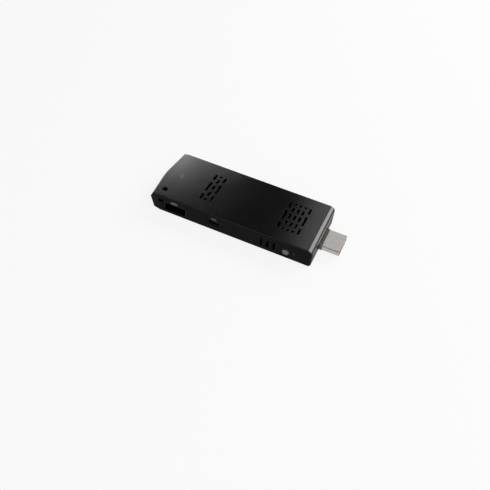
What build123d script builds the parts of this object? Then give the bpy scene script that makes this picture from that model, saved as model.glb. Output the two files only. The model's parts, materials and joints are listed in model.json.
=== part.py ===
from build123d import *
import os
from math import cos, radians, sin

os.makedirs("parts", exist_ok=True)

# Stick computer, in millimetres. The origin is under the middle of the whole length, +X points
# towards the video plug, the side with the button and ports faces -Y, and +Z is up.
# Places along the body are measured from the rear top edge or from the front face. A name that
# ends in _share is a share of another size: of the body's length or width, of the room above the
# board, or of the size named in the same group.

# Turns in degrees and the number of flats on small round pieces
full_turn = 360
half_turn = 180
quarter_turn = 90
boss_flats = 8
pin_flats = 12
hexagon = 6

# Outer form of the body
body_length = 91.4
body_width = 37.6
body_height = 11.6
rear_point = 1.6
rear_ridge_out = 2.4
rear_ridge_height = 7.0
rear_foot_in = 0.2
rear_corner_taper = 0.9
rear_taper_length = 3.9
front_corner_radius = 1.4
nose_length = 3.2
nose_sweep = 59
foot_round = 0.8
edge_bevel = 0.25
overrun = 5.0

# Walls of the case and the shadow gap under the cover
side_wall = 1.4
floor_wall = 1.2
cover_thickness = 1.3
cover_edge = 0.5
groove_height = 0.4
groove_depth = 0.6
lip_gap = 0.15
lip_width = 0.9
lip_depth = 1.2
press_gap = 0.05
seat_gap = 0.2

# Snap hooks of the cover
hook_length = 5.0
hook_reach = 2.9
hook_bump = 0.6
hook_bump_height = 1.2
hook_pocket_gap = 0.15
near_hook_shares = (0.284, 0.531)
far_hook_shares = (0.263, 0.656)
hook_from_front = 5.6

# Vent slots in the cover
vent_width = 1.3
vent_pitch = 2.83
vent_corner_share = 0.25
rear_vent_from_rear = 23.8
rear_vent_columns = 3
front_vent_from_front = 11.6
front_vent_columns = 5
outer_middle_slot = 7.5
outer_end_slot = 4.4
outer_end_place = 8.4
inner_middle_slot = 3.9
inner_slot = 3.4
inner_slot_place = 5.5
inner_dot = 1.7
inner_dot_place = 10.0

# Strap hole through the rear corner
strap_from_rear = 4.3
strap_from_side = 5.4
strap_hole = 2.7
strap_wall = 0.7
strap_side_low_share = 0.41
strap_side_tall_share = 0.41
strap_corner = 0.3

# Video plug and its collar
plug_reach = 11.4
plug_width = 13.9
plug_height = 4.45
plug_foot_width = 10.6
plug_shoulder_drop = 2.3
plug_corner = 0.5
plug_middle_height = 3.9
plug_metal = 0.3
plug_inside = 5.0
plug_insert_inside = 6.2
plug_mouth = 0.6
plug_slot_height = 1.4
plug_slot_margin = 1.0
plug_slot_depth = 9.0
plug_contact_width = 0.45
plug_contact_thickness = 0.2
plug_contact_pitch = 1.0
plug_upper_contacts = 10
plug_lower_contacts = 9
plug_contact_setback = 1.2
plug_tail = 1.8
collar_metal = 0.25
collar_reach = 1.9
collar_inside = 1.8
plug_hole_gap = 0.25
plug_latch_length = 2.6
plug_latch_width = 1.9
plug_latch_from_tip = 3.4
plug_latch_spread = 3.0

# Main board and the posts that carry it
board_thickness = 1.0
board_gap = 0.8
post_radius = 1.9
screw_radius = 0.8
screw_head_radius = 1.5
screw_head_height = 0.7
screw_recess_share = 0.5
screw_in_post = 1.7
thread_gap = 0.05
hole_gap = 0.1
board_screw_rear = 5.2
board_screw_rear_in = 5.0
board_screw_side = 21.9
board_screw_side_in = 3.9

# Data port
data_port_from_rear = 13.0
data_port_width = 13.1
data_port_height = 5.7
data_port_corner = 0.6
data_port_depth = 13.6
data_port_middle_height = 4.4
data_port_metal = 0.3
data_tongue_width = 11.1
data_tongue_thickness = 1.84
data_tongue_length = 8.7
data_back = 1.6
data_contact_width = 1.0
data_contact_thickness = 0.2
data_contact_pitch = 2.4
data_contacts = 4
data_tail = 1.2
data_ear = 1.5
data_ear_length = 2.4
data_leaf_width = 1.8
data_leaf_length = 4.4
data_leaf_spread = 3.0
port_setback = 0.4
port_hole_gap = 0.3

# Power port
power_port_share = 0.394
power_port_width = 7.5
power_port_foot_width = 5.6
power_port_height = 2.6
power_port_shoulder = 1.1
power_port_depth = 5.2
power_port_metal = 0.25
power_tongue_width = 3.9
power_tongue_thickness = 0.6
power_tongue_length = 3.4
power_back = 0.9
power_contact_width = 0.35
power_contact_thickness = 0.12
power_contact_pitch = 0.65
power_contacts = 5
power_ear = 1.2
power_ear_length = 2.0

# Card socket on the far side
card_gap = 1.2
card_width = 13.8
card_length = 14.4
card_window_share = 0.25
card_height = 1.8
card_metal = 0.2
card_base = 0.4
card_rail = 1.0
card_slot_width = 11.4
card_slot_height = 1.1
card_notch_radius = 5.0
card_notch_depth = 0.5
card_notch_length = 7.0
card_contact_width = 0.6
card_contact_thickness = 0.15
card_contact_length = 4.5
card_contact_pitch = 1.1
card_contacts = 8
card_contact_start = 1.2
card_tail = 0.8

# Power button with its switch
button_from_front = 14.2
button_height = 4.25
button_radius = 2.2
button_gap = 0.12
button_dish_radius = 3.1
button_dish_depth = 0.3
button_setback = 0.1
button_flange_radius = 2.7
button_flange = 0.5
button_travel = 0.35
button_stem_radius = 1.0
button_stem = 0.5
flange_gap = 0.1
switch_width = 4.6
switch_depth = 2.6
switch_height = 2.6
switch_ear = 0.9
switch_ear_height = 0.4
plunger_width = 1.8
plunger_height = 1.1
plunger_reach = 0.6
plunger_inside = 1.0
plunger_gap = 0.1

# Status lights with their windows
top_light_from_rear = 7.5
top_window_length = 1.5
top_window_width = 3.8
side_light_from_front = 9.6
side_window_height = 5.3
side_window_length = 1.0
side_window_tall = 2.4
window_corner_share = 0.2
window_flange = 0.5
window_flange_out = 0.4
light_length = 0.9
light_width = 1.6
light_height = 0.6
light_gap = 0.3
side_light_depth = 1.0
side_light_height = 1.1
window_guide = 0.8

# Outlet slots in the near side
outlet_from_front = 24.4
outlet_pitch = 3.58
outlet_count = 3
outlet_width = 1.3
outlet_height = 5.0
outlet_middle_height = 5.5

# Blower
fan_from_front = 18.0
fan_from_middle = 1.8
fan_floor_gap = 0.4
fan_headroom = 1.0
fan_wall = 0.6
fan_sheet = 0.5
fan_rotor_radius_share = 0.2075
fan_tip_gap = 0.7
fan_volute_growth = 1.7
fan_outlet_width = 9.6
volute_start = -95
volute_arcs = 4
fan_outlet_gap = 0.3
fan_inlet_radius_share = 0.1543
fan_lug_radius = 1.9
fan_lug_height = 1.1
fan_lug_out = 1.5
fan_lug_angles = (-32, 84, 140)
fan_blades = 17
fan_blade = 0.4
fan_blade_lean = 14
fan_blade_bow = 0.5
fan_hub_radius_share = 0.1144
fan_hub_wall = 0.4
fan_rotor_gap_share = 0.1
fan_hub_top_share = 0.143
fan_hub_round = 0.4
fan_magnet_wall = 0.6
fan_shaft_radius = 0.5
fan_shaft_gap = 0.03
fan_bearing_wall = 0.7
fan_bearing_flange_share = 0.143
fan_coil_gap = 0.4
fan_core_radius = 1.3
fan_coil_arms = 4
fan_coil_arm_width = 0.9
fan_coil_shoe = 0.45
fan_coil_shoe_angle = 62
fan_coil_height_share = 0.9
wire_radius = 0.28
wire_pitch = 0.9
fan_lead_angle = 56
fan_socket_length = 3.4
fan_socket_width = 2.6
fan_socket_height = 1.9
fan_socket_place = 3.6

# Processor, thermal pad and heat sink
sink_length_share = 0.166
sink_width_share = 0.601
sink_from_fan = 0.8
sink_off_middle_share = 0.04
sink_base_share = 0.136
sink_fins = 8
sink_fin = 0.5
sink_fin_height_share = 0.305
sink_leg = 3.2
sink_leg_in = 1.6
processor_size_share = 0.116
processor_base_share = 0.136
die_size_share = 0.077
die_height_share = 0.068
pad_thickness_share = 0.085
pad_size_share = 0.098

# Other chips and small pieces of the board
memory_length_share = 0.079
memory_height = 1.0
chip_gap = 1.0
storage_length_share = 0.126
storage_width_share = 0.346
storage_height = 1.0
power_chip_size_share = 0.05
power_chip_height = 0.9
near_row_in_share = 0.133
near_row_gap = 0.4
coil_size_share = 0.026
coil_height = 1.4
coil_pitch_share = 0.034
coil_corner_share = 0.17
coil_crown_share = 0.15
coil_crown_width_share = 0.6
capacitor_length = 1.0
capacitor_width = 0.5
capacitor_height = 0.5
capacitor_pitch_share = 0.0164
capacitor_count = 6
capacitor_cap_share = 0.25
crystal_length_share = 0.0274
crystal_width = 2.0
crystal_height = 0.7
crystal_lid_share = 0.8
crystal_gap = 0.5
cell_radius_share = 0.037
cell_height = 2.1
cell_tab = 0.2
cell_tab_width = 1.6
cell_tab_out = 1.2

# Wireless module, its shield, antennas and leads
module_start = 7.5
module_length_share = 0.12
module_in_share = 0.218
module_width_share = 0.266
module_base = 0.7
shield_margin = 0.5
shield_sheet = 0.2
shield_height = 1.3
antenna_sheet = 0.3
antenna_low = 5.0
antenna_length_share = 0.15
antenna_start = 3.2
lead_radius = 0.4
lead_plug_radius = 0.9
lead_plug_height = 0.8
lead_plug_in = 1.6
lead_plug_off_share = 0.25
lead_turn = 2.9
lead_turn_radius = 1.2

# Derived places of the body
overall_length = rear_point + rear_ridge_out + body_length + plug_reach
rear_x = rear_point + rear_ridge_out - overall_length / 2
front_x = rear_x + body_length
tip_x = front_x + plug_reach
half_width = body_width / 2
near_y = -half_width
far_y = half_width
near_inner_y = near_y + side_wall
far_inner_y = far_y - side_wall
front_inner_x = front_x - side_wall
nose_radius = nose_length / sin(radians(nose_sweep))
rim_drop = cover_edge + groove_height
ceiling_z = body_height - cover_thickness
lip_bottom_z = body_height - rim_drop - lip_depth
board_top = plug_middle_height + board_thickness / 2
board_bottom = plug_middle_height - board_thickness / 2
outside = overall_length
room_height = ceiling_z - board_top
power_port_x = rear_x + body_length * power_port_share
strap_side_low = board_top + (lip_bottom_z - board_top) * strap_side_low_share
strap_side_tall = (lip_bottom_z - board_top) * strap_side_tall_share

# Derived sizes of what the case holds
sink_length = body_length * sink_length_share
sink_width = body_width * sink_width_share
sink_off_middle = body_width * sink_off_middle_share
sink_base = room_height * sink_base_share
sink_fin_height = room_height * sink_fin_height_share
processor_size = body_length * processor_size_share
processor_base = room_height * processor_base_share
die_size = body_length * die_size_share
die_height = room_height * die_height_share
pad_size = body_length * pad_size_share
pad_thickness = room_height * pad_thickness_share
memory_length = body_length * memory_length_share
storage_length = body_length * storage_length_share
storage_width = body_width * storage_width_share
power_chip_size = body_length * power_chip_size_share
near_row_in = body_width * near_row_in_share
coil_size = body_length * coil_size_share
coil_pitch = body_length * coil_pitch_share
capacitor_pitch = body_length * capacitor_pitch_share
crystal_length = body_length * crystal_length_share
cell_radius = body_length * cell_radius_share
module_length = body_length * module_length_share
module_in = body_width * module_in_share
module_width = body_width * module_width_share
antenna_length = body_length * antenna_length_share
fan_rotor_radius = body_width * fan_rotor_radius_share
fan_inlet_radius = body_width * fan_inlet_radius_share
fan_hub_radius = body_width * fan_hub_radius_share
fan_space_height = room_height - fan_headroom - fan_floor_gap - 2 * fan_sheet
fan_rotor_gap = fan_space_height * fan_rotor_gap_share
fan_hub_top = fan_space_height * fan_hub_top_share
fan_bearing_flange = fan_space_height * fan_bearing_flange_share


def limits(x0, x1, y0, y1, z0, z1):
    """Block between its limits."""
    return Pos((x0 + x1) / 2, (y0 + y1) / 2, (z0 + z1) / 2) * Box(x1 - x0, y1 - y0, z1 - z0)


def block(x, y, z, length, width, height):
    """Block that stands on z, centred on x and y."""
    return Pos(x, y, z + height / 2) * Box(length, width, height)


def post(x, y, z, radius, height):
    """Upright round post that stands on z."""
    return Pos(x, y, z + height / 2) * Cylinder(radius, height)


def boss(x, y, z, radius, height):
    """Pillar with flat sides that stands on z."""
    return upright(Pos(x, y) * RegularPolygon(radius, boss_flats), z, z + height)


def screw_pin(x, y, z, radius, height):
    """Shank of a screw, or the hole for one, with flats instead of a thread."""
    return upright(Pos(x, y) * RegularPolygon(radius, pin_flats), z, z + height)


def upright(sketch, z0, z1):
    """Sketch in plan, extruded from one height to another."""
    return extrude(Plane.XY.offset(z0) * sketch, amount=z1 - z0)


def across(sketch, y0, y1):
    """Sketch in length and height, extruded from one place across the width to another."""
    return extrude(Plane.XZ.offset(-y0) * sketch, amount=y0 - y1)


def lengthwise(sketch, x0, x1):
    """Sketch in width and height, extruded from one place along the length to another."""
    return extrude(Plane.YZ.offset(x0) * sketch, amount=x1 - x0)


def polygon(*points):
    """Closed outline with straight sides."""
    return make_face(Polyline(*points, close=True))


def slot_rectangle(x, y, length, width, share):
    """Rectangle with small cut corners, in plan or in elevation."""
    rectangle = Pos(x, y) * Rectangle(length, width)
    return chamfer(rectangle.vertices(), min(length, width) * share)


def row(count, pitch):
    """Places of a centred row."""
    return [(index - (count - 1) / 2) * pitch for index in range(count)]


def solids(shapes):
    """One node that holds several separate solids."""
    return Compound(children=[solid for shape in shapes for solid in shape.solids()])


# Shells

def plan_outline(inset):
    """Plan of the body: tapered rear corners, rounded front corners, rear end left long."""
    slope = rear_corner_taper / rear_taper_length
    behind = rear_point + rear_ridge_out + overrun
    corner_x = rear_x + rear_taper_length
    behind_y = half_width - slope * (rear_taper_length + behind)
    plan = polygon(
        (rear_x - behind, -behind_y),
        (corner_x, near_y),
        (front_x, near_y),
        (front_x, far_y),
        (corner_x, far_y),
        (rear_x - behind, behind_y),
    )
    corners = plan.vertices().group_by(Axis.X)[-1]
    plan = fillet(corners, front_corner_radius)
    if inset:
        plan = offset(plan, amount=-inset, kind=Kind.INTERSECTION)
    return plan


def under_roof(drop):
    """Everything below the top surface and the rounded nose, lowered by a drop."""
    turn_x = front_x - nose_length
    arc = CenterArc((turn_x, body_height - nose_radius), nose_radius - drop, quarter_turn, -nose_sweep)
    slide = nose_length / cos(radians(nose_sweep))
    end = arc @ 1 + (arc % 1) * slide
    foot = -overrun
    profile = arc + Polyline(
        arc @ 1, end, (end.X, foot), (-outside, foot), (-outside, body_height - drop), arc @ 0
    )
    return across(make_face(profile), outside / 2, -outside / 2)


def rear_planes(inset):
    """The four flat rear faces: a shallow point in plan and a ridge in elevation."""
    down = Vector(-rear_ridge_out, 0, rear_ridge_height - body_height)
    back = Vector(rear_ridge_out + rear_foot_in, 0, -rear_ridge_height)
    planes = []
    for side in (-1, 1):
        corner = Vector(rear_x, side * (half_width - rear_corner_taper), body_height)
        apex = Vector(rear_x - rear_point, 0, body_height)
        for start, slope in ((apex, down), (apex + down, back)):
            normal = (corner - apex).cross(slope).normalized()
            if normal.X > 0:
                normal = -normal
            planes.append(Plane(origin=start - normal * inset, z_dir=normal))
    return planes


def envelope(inset, drop, lift):
    """The body's outer form drawn in by an inset, lowered by a drop and cut at a lift."""
    form = upright(plan_outline(inset), lift, body_height)
    for plane in rear_planes(inset):
        form = split(form, bisect_by=plane, keep=Keep.BOTTOM)
    return form & under_roof(drop)


def vent_slots(first_x, columns):
    """Slots of one vent group: long ones in the outer columns, short ones and dots between."""
    outer = [(0, outer_middle_slot)]
    inner = [(0, inner_middle_slot)]
    for side in (-1, 1):
        outer.append((side * outer_end_place, outer_end_slot))
        inner.append((side * inner_slot_place, inner_slot))
        inner.append((side * inner_dot_place, inner_dot))
    sketch = Sketch()
    for column in range(columns):
        places = outer if column in (0, columns - 1) else inner
        for y, length in places:
            x = first_x + column * vent_pitch
            sketch += slot_rectangle(x, y, vent_width, length, vent_corner_share)
    return upright(sketch, lip_bottom_z, body_height + overrun)


def hook_places():
    """Each snap hook as its place along the body and its side."""
    places = [(rear_x + body_length * share, -1) for share in near_hook_shares]
    places += [(rear_x + body_length * share, 1) for share in far_hook_shares]
    places += [(front_x - hook_from_front, side) for side in (-1, 1)]
    return places


def snap_hook(x, side, grow):
    """Arm that hangs from the cover's lip, with a wedge that catches in the side wall."""
    outer_y = half_width - side_wall - lip_gap
    arm_top = body_height - rim_drop
    arm_foot = arm_top - hook_reach
    inner_y = outer_y - lip_width
    tip_y = outer_y + lip_gap + hook_bump
    wedge_top = arm_foot + hook_bump_height
    if grow:
        profile = polygon(
            (outer_y, arm_foot - grow),
            (tip_y + grow, arm_foot - grow),
            (tip_y + grow, wedge_top + grow),
            (outer_y, wedge_top + grow),
        )
    else:
        profile = polygon(
            (inner_y, arm_top),
            (inner_y, arm_foot),
            (outer_y, arm_foot),
            (tip_y, wedge_top - hook_bump / 2),
            (tip_y, wedge_top),
            (outer_y, wedge_top),
            (outer_y, arm_top),
        )
    half = hook_length / 2 + grow
    arm = lengthwise(profile, x - half, x + half)
    return arm if side > 0 else mirror(arm, about=Plane.XZ)


def strap_centre():
    return rear_x + strap_from_rear, near_y + strap_from_side


def top_cover():
    """Cover plate with a rounded nose, its locating lip, snap hooks and vents."""
    low = body_height / 2
    skin = envelope(0, 0, low)
    top_edges = skin.edges().group_by(Axis.Z)[-1]
    skin = chamfer(top_edges.filter_by(Axis.X), edge_bevel) - under_roof(cover_edge)
    seat = envelope(groove_depth, 0, low) - under_roof(rim_drop)
    lip_inset = side_wall + lip_gap
    plate = envelope(lip_inset, 0, low) - under_roof(cover_thickness)
    lip = envelope(lip_inset, 0, low) - envelope(lip_inset + lip_width, 0, 0)
    lip -= under_roof(rim_drop + lip_depth)
    cover = skin + seat + plate + lip
    for x, side in hook_places():
        cover += snap_hook(x, side, 0)
    strap_x, strap_y = strap_centre()
    tube = strap_hole + 2 * strap_wall
    cover += limits(
        strap_x - tube / 2, strap_x + tube / 2, strap_y - tube / 2, strap_y + tube / 2,
        lip_bottom_z + seat_gap, ceiling_z + press_gap,
    )
    window_x = rear_x + top_light_from_rear
    guide_length = top_window_length + 2 * window_guide
    guide_width = top_window_width + 2 * window_guide
    cover += block(window_x, 0, lip_bottom_z, guide_length, guide_width, lip_depth + rim_drop / 2)
    cover -= vent_slots(rear_x + rear_vent_from_rear, rear_vent_columns)
    front_first = front_x - front_vent_from_front - (front_vent_columns - 1) * vent_pitch
    cover -= vent_slots(front_first, front_vent_columns)
    hole = slot_rectangle(strap_x, strap_y, strap_hole, strap_hole, strap_corner / strap_hole)
    cover -= upright(hole, 0, body_height + overrun)
    window = slot_rectangle(
        window_x, 0, top_window_length + 2 * press_gap, top_window_width + 2 * press_gap,
        window_corner_share,
    )
    return cover - upright(window, 0, body_height + overrun)


def board_screw_places():
    """Screws of the board's rear half; the blower's screws hold its front half."""
    return [
        (rear_x + board_screw_rear, far_inner_y - board_screw_rear_in),
        (rear_x + board_screw_side, near_inner_y + board_screw_side_in),
    ]


def fan_centre():
    return front_x - fan_from_front, -fan_from_middle


def volute_radius(angle):
    """Radius of the scroll, which widens steadily from the tongue round to the outlet."""
    turn_share = (angle - volute_start) / (half_turn - volute_start)
    return fan_rotor_radius + fan_tip_gap + fan_volute_growth * turn_share


def sink_span():
    """Rear and front ends of the heat sink, which stops just short of the blower."""
    x, y = fan_centre()
    front = x - volute_radius(half_turn) - fan_wall - sink_from_fan
    return front - sink_length, front


def sink_screw_places():
    """Two screws at opposite corners of the heat sink."""
    rear, front = sink_span()
    reach = sink_width / 2 - sink_leg_in
    return [
        (rear + sink_leg_in, sink_off_middle + reach),
        (front - sink_leg_in, sink_off_middle - reach),
    ]


def fan_screw_places():
    x, y = fan_centre()
    places = []
    for angle in fan_lug_angles:
        reach = volute_radius(angle) + fan_wall + fan_lug_out
        places.append((x + reach * cos(radians(angle)), y + reach * sin(radians(angle))))
    return places


def plug_profile(grow):
    """Section of the plug: square at the top, drawn in below the shoulder."""
    top = plug_middle_height + plug_height / 2
    foot = plug_middle_height - plug_height / 2
    shoulder = top - plug_shoulder_drop
    section = polygon(
        (-plug_width / 2, top),
        (-plug_width / 2, shoulder),
        (-plug_foot_width / 2, foot),
        (plug_foot_width / 2, foot),
        (plug_width / 2, shoulder),
        (plug_width / 2, top),
    )
    section = fillet(section.vertices(), plug_corner)
    if grow:
        section = offset(section, amount=grow, kind=Kind.ARC)
    return section


def power_port_profile(shrink):
    """Section of the power port: wide at the top, narrow where it sits on the board."""
    top = board_top + power_port_height
    x = power_port_x
    section = polygon(
        (x - power_port_width / 2, top),
        (x - power_port_width / 2, board_top + power_port_shoulder),
        (x - power_port_foot_width / 2, board_top),
        (x + power_port_foot_width / 2, board_top),
        (x + power_port_width / 2, board_top + power_port_shoulder),
        (x + power_port_width / 2, top),
    )
    if shrink:
        section = offset(section, amount=-shrink, kind=Kind.INTERSECTION)
    return section


def data_port_profile(grow):
    x = rear_x + data_port_from_rear
    length = data_port_width + 2 * grow
    height = data_port_height + 2 * grow
    return Pos(x, data_port_middle_height) * RectangleRounded(length, height, data_port_corner + grow)


def button_circle(radius):
    return Pos(front_x - button_from_front, button_height) * Circle(radius)


def side_window(grow):
    x = front_x - side_light_from_front
    return slot_rectangle(
        x, side_window_height, side_window_length + 2 * grow, side_window_tall + 2 * grow,
        window_corner_share,
    )


def card_centre_x():
    """The card socket lies just behind the heat sink."""
    rear, front = sink_span()
    return rear - card_gap - card_width / 2


def card_slot_height_middle():
    return board_top + card_base + card_slot_height / 2


def strap_block():
    """Block in the rear corner that holds the strap's way from the top to the side."""
    strap_x, strap_y = strap_centre()
    reach = strap_hole / 2 + strap_wall
    low = strap_side_low - strap_wall
    space = limits(rear_x - rear_ridge_out, strap_x + reach, near_y, strap_y + reach, low, lip_bottom_z)
    return space & envelope(side_wall / 2, rim_drop, floor_wall)


def strap_way():
    """The way through the block: down from the top and out of the side."""
    strap_x, strap_y = strap_centre()
    half = strap_hole / 2
    high = strap_side_low + strap_side_tall
    side = limits(strap_x - half, strap_x + half, near_y - overrun, strap_y + half, strap_side_low, high)
    hole = slot_rectangle(strap_x, strap_y, strap_hole, strap_hole, strap_corner / strap_hole)
    return side + upright(hole, strap_side_low, body_height)


def wall_openings():
    """Everything cut through the side walls and the front wall."""
    out_y = near_y - overrun
    in_y = near_inner_y + overrun
    cuts = across(data_port_profile(port_hole_gap), in_y, out_y)
    cuts += across(power_port_profile(-port_hole_gap), in_y, out_y)
    for shift in row(outlet_count, outlet_pitch):
        x = front_x - outlet_from_front + shift
        slot = slot_rectangle(x, outlet_middle_height, outlet_width, outlet_height, vent_corner_share)
        cuts += across(slot, in_y, out_y)
    cuts += across(button_circle(button_radius + button_gap), near_inner_y + overrun, out_y)
    cuts += across(button_circle(button_dish_radius), near_y + button_dish_depth, out_y)
    cuts += across(side_window(press_gap), in_y, out_y)
    cuts += lengthwise(plug_profile(collar_metal + plug_hole_gap), front_inner_x - overrun, tip_x)
    card_x = card_centre_x()
    middle = card_slot_height_middle()
    slot = slot_rectangle(
        card_x, middle, card_slot_width + 2 * seat_gap, card_slot_height + 2 * seat_gap,
        window_corner_share,
    )
    cuts += across(slot, far_y + overrun, far_inner_y - seat_gap)
    notch_y = far_y + card_notch_radius - card_notch_depth
    notch = lengthwise(Pos(notch_y, middle) * Circle(card_notch_radius), card_x - card_notch_length / 2,
                       card_x + card_notch_length / 2)
    return cuts + notch


def bottom_case():
    """Tub with board posts, strap block, hook pockets and wall openings."""
    case = envelope(0, rim_drop, 0)
    case = chamfer(case.edges().group_by(Axis.Z)[0], foot_round)
    case -= envelope(side_wall, 0, floor_wall)
    screw_places = board_screw_places() + sink_screw_places() + fan_screw_places()
    base = floor_wall / 2
    for x, y in screw_places:
        case += boss(x, y, base, post_radius, board_bottom - base)
    case += strap_block()
    case -= strap_way()
    for x, y in screw_places:
        case -= screw_pin(x, y, floor_wall, screw_radius + thread_gap, board_bottom)
    for x, side in hook_places():
        case -= snap_hook(x, side, hook_pocket_gap)
    return case - wall_openings()


# Button, switch and lights

def switch_front():
    """Place of the switch's front face across the width."""
    inner = near_inner_y + flange_gap + button_flange + button_stem
    return inner + plunger_reach


def power_button():
    """Round cap in a dished hole, with a flange behind the wall and a stem to the switch."""
    face_y = near_y + button_setback
    flange_y = near_inner_y + flange_gap
    flange_end = flange_y + button_flange
    stem_end = flange_end + button_stem
    cap = across(button_circle(button_radius), flange_end, face_y)
    front = cap.edges().group_by(Axis.Y)[0]
    cap = chamfer(front, edge_bevel)
    flange = across(button_circle(button_flange_radius), flange_end, flange_y)
    stem = across(button_circle(button_stem_radius), stem_end, flange_end)
    return cap + flange + stem


def plunger_block(grow, y0, y1):
    x = front_x - button_from_front
    sketch = Pos(x, button_height) * Rectangle(plunger_width + 2 * grow, plunger_height + 2 * grow)
    return across(sketch, y1, y0)


def switch_plunger():
    face = switch_front()
    return plunger_block(0, face - plunger_reach, face + plunger_inside)


def switch_body():
    """Side switch that sits in the board's notch on two soldered ears."""
    x = front_x - button_from_front
    face = switch_front()
    low = button_height - switch_height / 2
    body = block(x, face + switch_depth / 2, low, switch_width, switch_depth, switch_height)
    ears = block(
        x, face + switch_depth / 2, board_top, switch_width + 2 * switch_ear, switch_depth / 2,
        switch_ear_height,
    )
    room = plunger_block(plunger_gap, face - overrun, face + plunger_inside + button_travel + plunger_gap)
    return body + ears - room


def top_light_pipe():
    """Clear window set flush in the cover, which reaches down to its light."""
    x = rear_x + top_light_from_rear
    low = board_top + light_height + light_gap
    window = slot_rectangle(x, 0, top_window_length, top_window_width, window_corner_share)
    return upright(window, low, body_height)


def side_light_pipe():
    """Clear window in the near wall, with a flange stuck to the wall's inner face."""
    flange_y = near_inner_y
    pipe = across(side_window(0), flange_y + window_flange, near_y)
    return pipe + across(side_window(window_flange_out), flange_y + window_flange, flange_y)


def status_lights():
    """One light under the top window and one behind the side window."""
    top = block(rear_x + top_light_from_rear, 0, board_top, light_length, light_width, light_height)
    side_y = near_inner_y + window_flange + light_gap + side_light_depth / 2
    x = front_x - side_light_from_front
    side = block(x, side_y, board_top, light_width, side_light_depth, side_light_height)
    return solids([top, side])


# Board

def screw(x, y, seat_z, foot_z):
    """Flat-headed screw with a hexagonal driver recess, with its head on seat_z."""
    shank = screw_pin(x, y, foot_z, screw_radius, seat_z - foot_z)
    head = post(x, y, seat_z, screw_head_radius, screw_head_height)
    drive = RegularPolygon(screw_head_radius * screw_recess_share, hexagon)
    top = seat_z + screw_head_height
    depth = screw_head_height * screw_recess_share
    return shank + head - upright(Pos(x, y) * drive, top - depth, top + overrun)


def main_board():
    """Board that follows the case, with cut-outs for ports, plug and switch."""
    board = envelope(side_wall + board_gap, 0, board_bottom)
    board -= limits(-outside, outside, -outside, outside, board_top, body_height + overrun)
    port_x = rear_x + data_port_from_rear
    half = data_port_width / 2 + seat_gap
    port_back = near_y + port_setback + data_port_depth + seat_gap
    board -= limits(port_x - half, port_x + half, near_y, port_back, 0, body_height)
    plug_half = plug_width / 2 + seat_gap
    notch_x = front_x - plug_insert_inside
    board -= limits(notch_x, front_x, -plug_half, plug_half, 0, body_height)
    switch_x = front_x - button_from_front
    switch_half = switch_width / 2 + seat_gap
    switch_back = switch_front() + switch_depth + seat_gap
    board -= limits(switch_x - switch_half, switch_x + switch_half, near_y, switch_back, 0, body_height)
    flange_half = button_flange_radius + seat_gap
    flange_back = near_inner_y + flange_gap + button_flange + button_travel + seat_gap
    board -= limits(switch_x - flange_half, switch_x + flange_half, near_y, flange_back, 0, body_height)
    for x, y in board_screw_places() + sink_screw_places() + fan_screw_places():
        board -= screw_pin(x, y, 0, screw_radius + hole_gap, body_height)
    return board


def board_screws():
    foot = board_bottom - screw_in_post
    return solids([screw(x, y, board_top, foot) for x, y in board_screw_places()])


def sink_levels():
    """Heights of the processor's top, the die's top, and the sink plate's underside and top."""
    substrate = board_top + processor_base
    die = substrate + die_height
    underside = die + pad_thickness
    return substrate, die, underside, underside + sink_base


def sink_middle():
    rear, front = sink_span()
    return (rear + front) / 2, sink_off_middle


def processor():
    x, y = sink_middle()
    substrate, die, underside, top = sink_levels()
    base = block(x, y, board_top, processor_size, processor_size, processor_base)
    return base + block(x, y, substrate, die_size, die_size, die_height)


def thermal_pad():
    x, y = sink_middle()
    substrate, die, underside, top = sink_levels()
    return block(x, y, die, pad_size, pad_size, pad_thickness)


def heat_sink():
    """Plate on two legs over the processor, with fins along the air's way to the blower."""
    rear, front = sink_span()
    x, y = sink_middle()
    substrate, die, underside, top = sink_levels()
    sink = block(x, y, underside, sink_length, sink_width, sink_base)
    for leg_x, leg_y in sink_screw_places():
        sink += block(leg_x, leg_y, board_top, sink_leg, sink_leg, underside - board_top)
    fin_reach = sink_width / 2 - sink_leg_in - screw_head_radius - seat_gap - sink_fin / 2
    fin_pitch = 2 * fin_reach / (sink_fins - 1)
    for shift in row(sink_fins, fin_pitch):
        sink += block(x, y + shift, top, sink_length, sink_fin, sink_fin_height)
    for leg_x, leg_y in sink_screw_places():
        sink -= screw_pin(leg_x, leg_y, 0, screw_radius + hole_gap, body_height)
    return sink


def sink_screws():
    fin_top = sink_levels()[-1]
    foot = board_bottom - screw_in_post
    return solids([screw(x, y, fin_top, foot) for x, y in sink_screw_places()])


def memory_place():
    """Middle and width of the memory, between the near row of pieces and the card socket."""
    rear, front = sink_span()
    low_y = near_row_y() + power_chip_size / 2 + chip_gap
    high_y = far_inner_y - seat_gap - card_length - chip_gap
    return rear - chip_gap - memory_length / 2, (low_y + high_y) / 2, high_y - low_y


def memory_chips():
    """One chip on each face of the board, behind the heat sink."""
    x, y, width = memory_place()
    upper = block(x, y, board_top, memory_length, width, memory_height)
    lower = block(x, y, board_bottom - memory_height, memory_length, width, memory_height)
    return solids([upper, lower])


def storage_chip():
    """Chip on the board's underside."""
    x, y = sink_middle()
    return block(x, y, board_bottom - storage_height, storage_length, storage_width, storage_height)


def near_row_y():
    return near_inner_y + near_row_in


def near_row_start():
    """The row of power pieces starts just in front of the power port's ear."""
    return power_port_x + power_port_width / 2 + power_ear + near_row_gap


def power_chip():
    x = near_row_start() + power_chip_size / 2
    return block(x, near_row_y(), board_top, power_chip_size, power_chip_size, power_chip_height)


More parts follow.
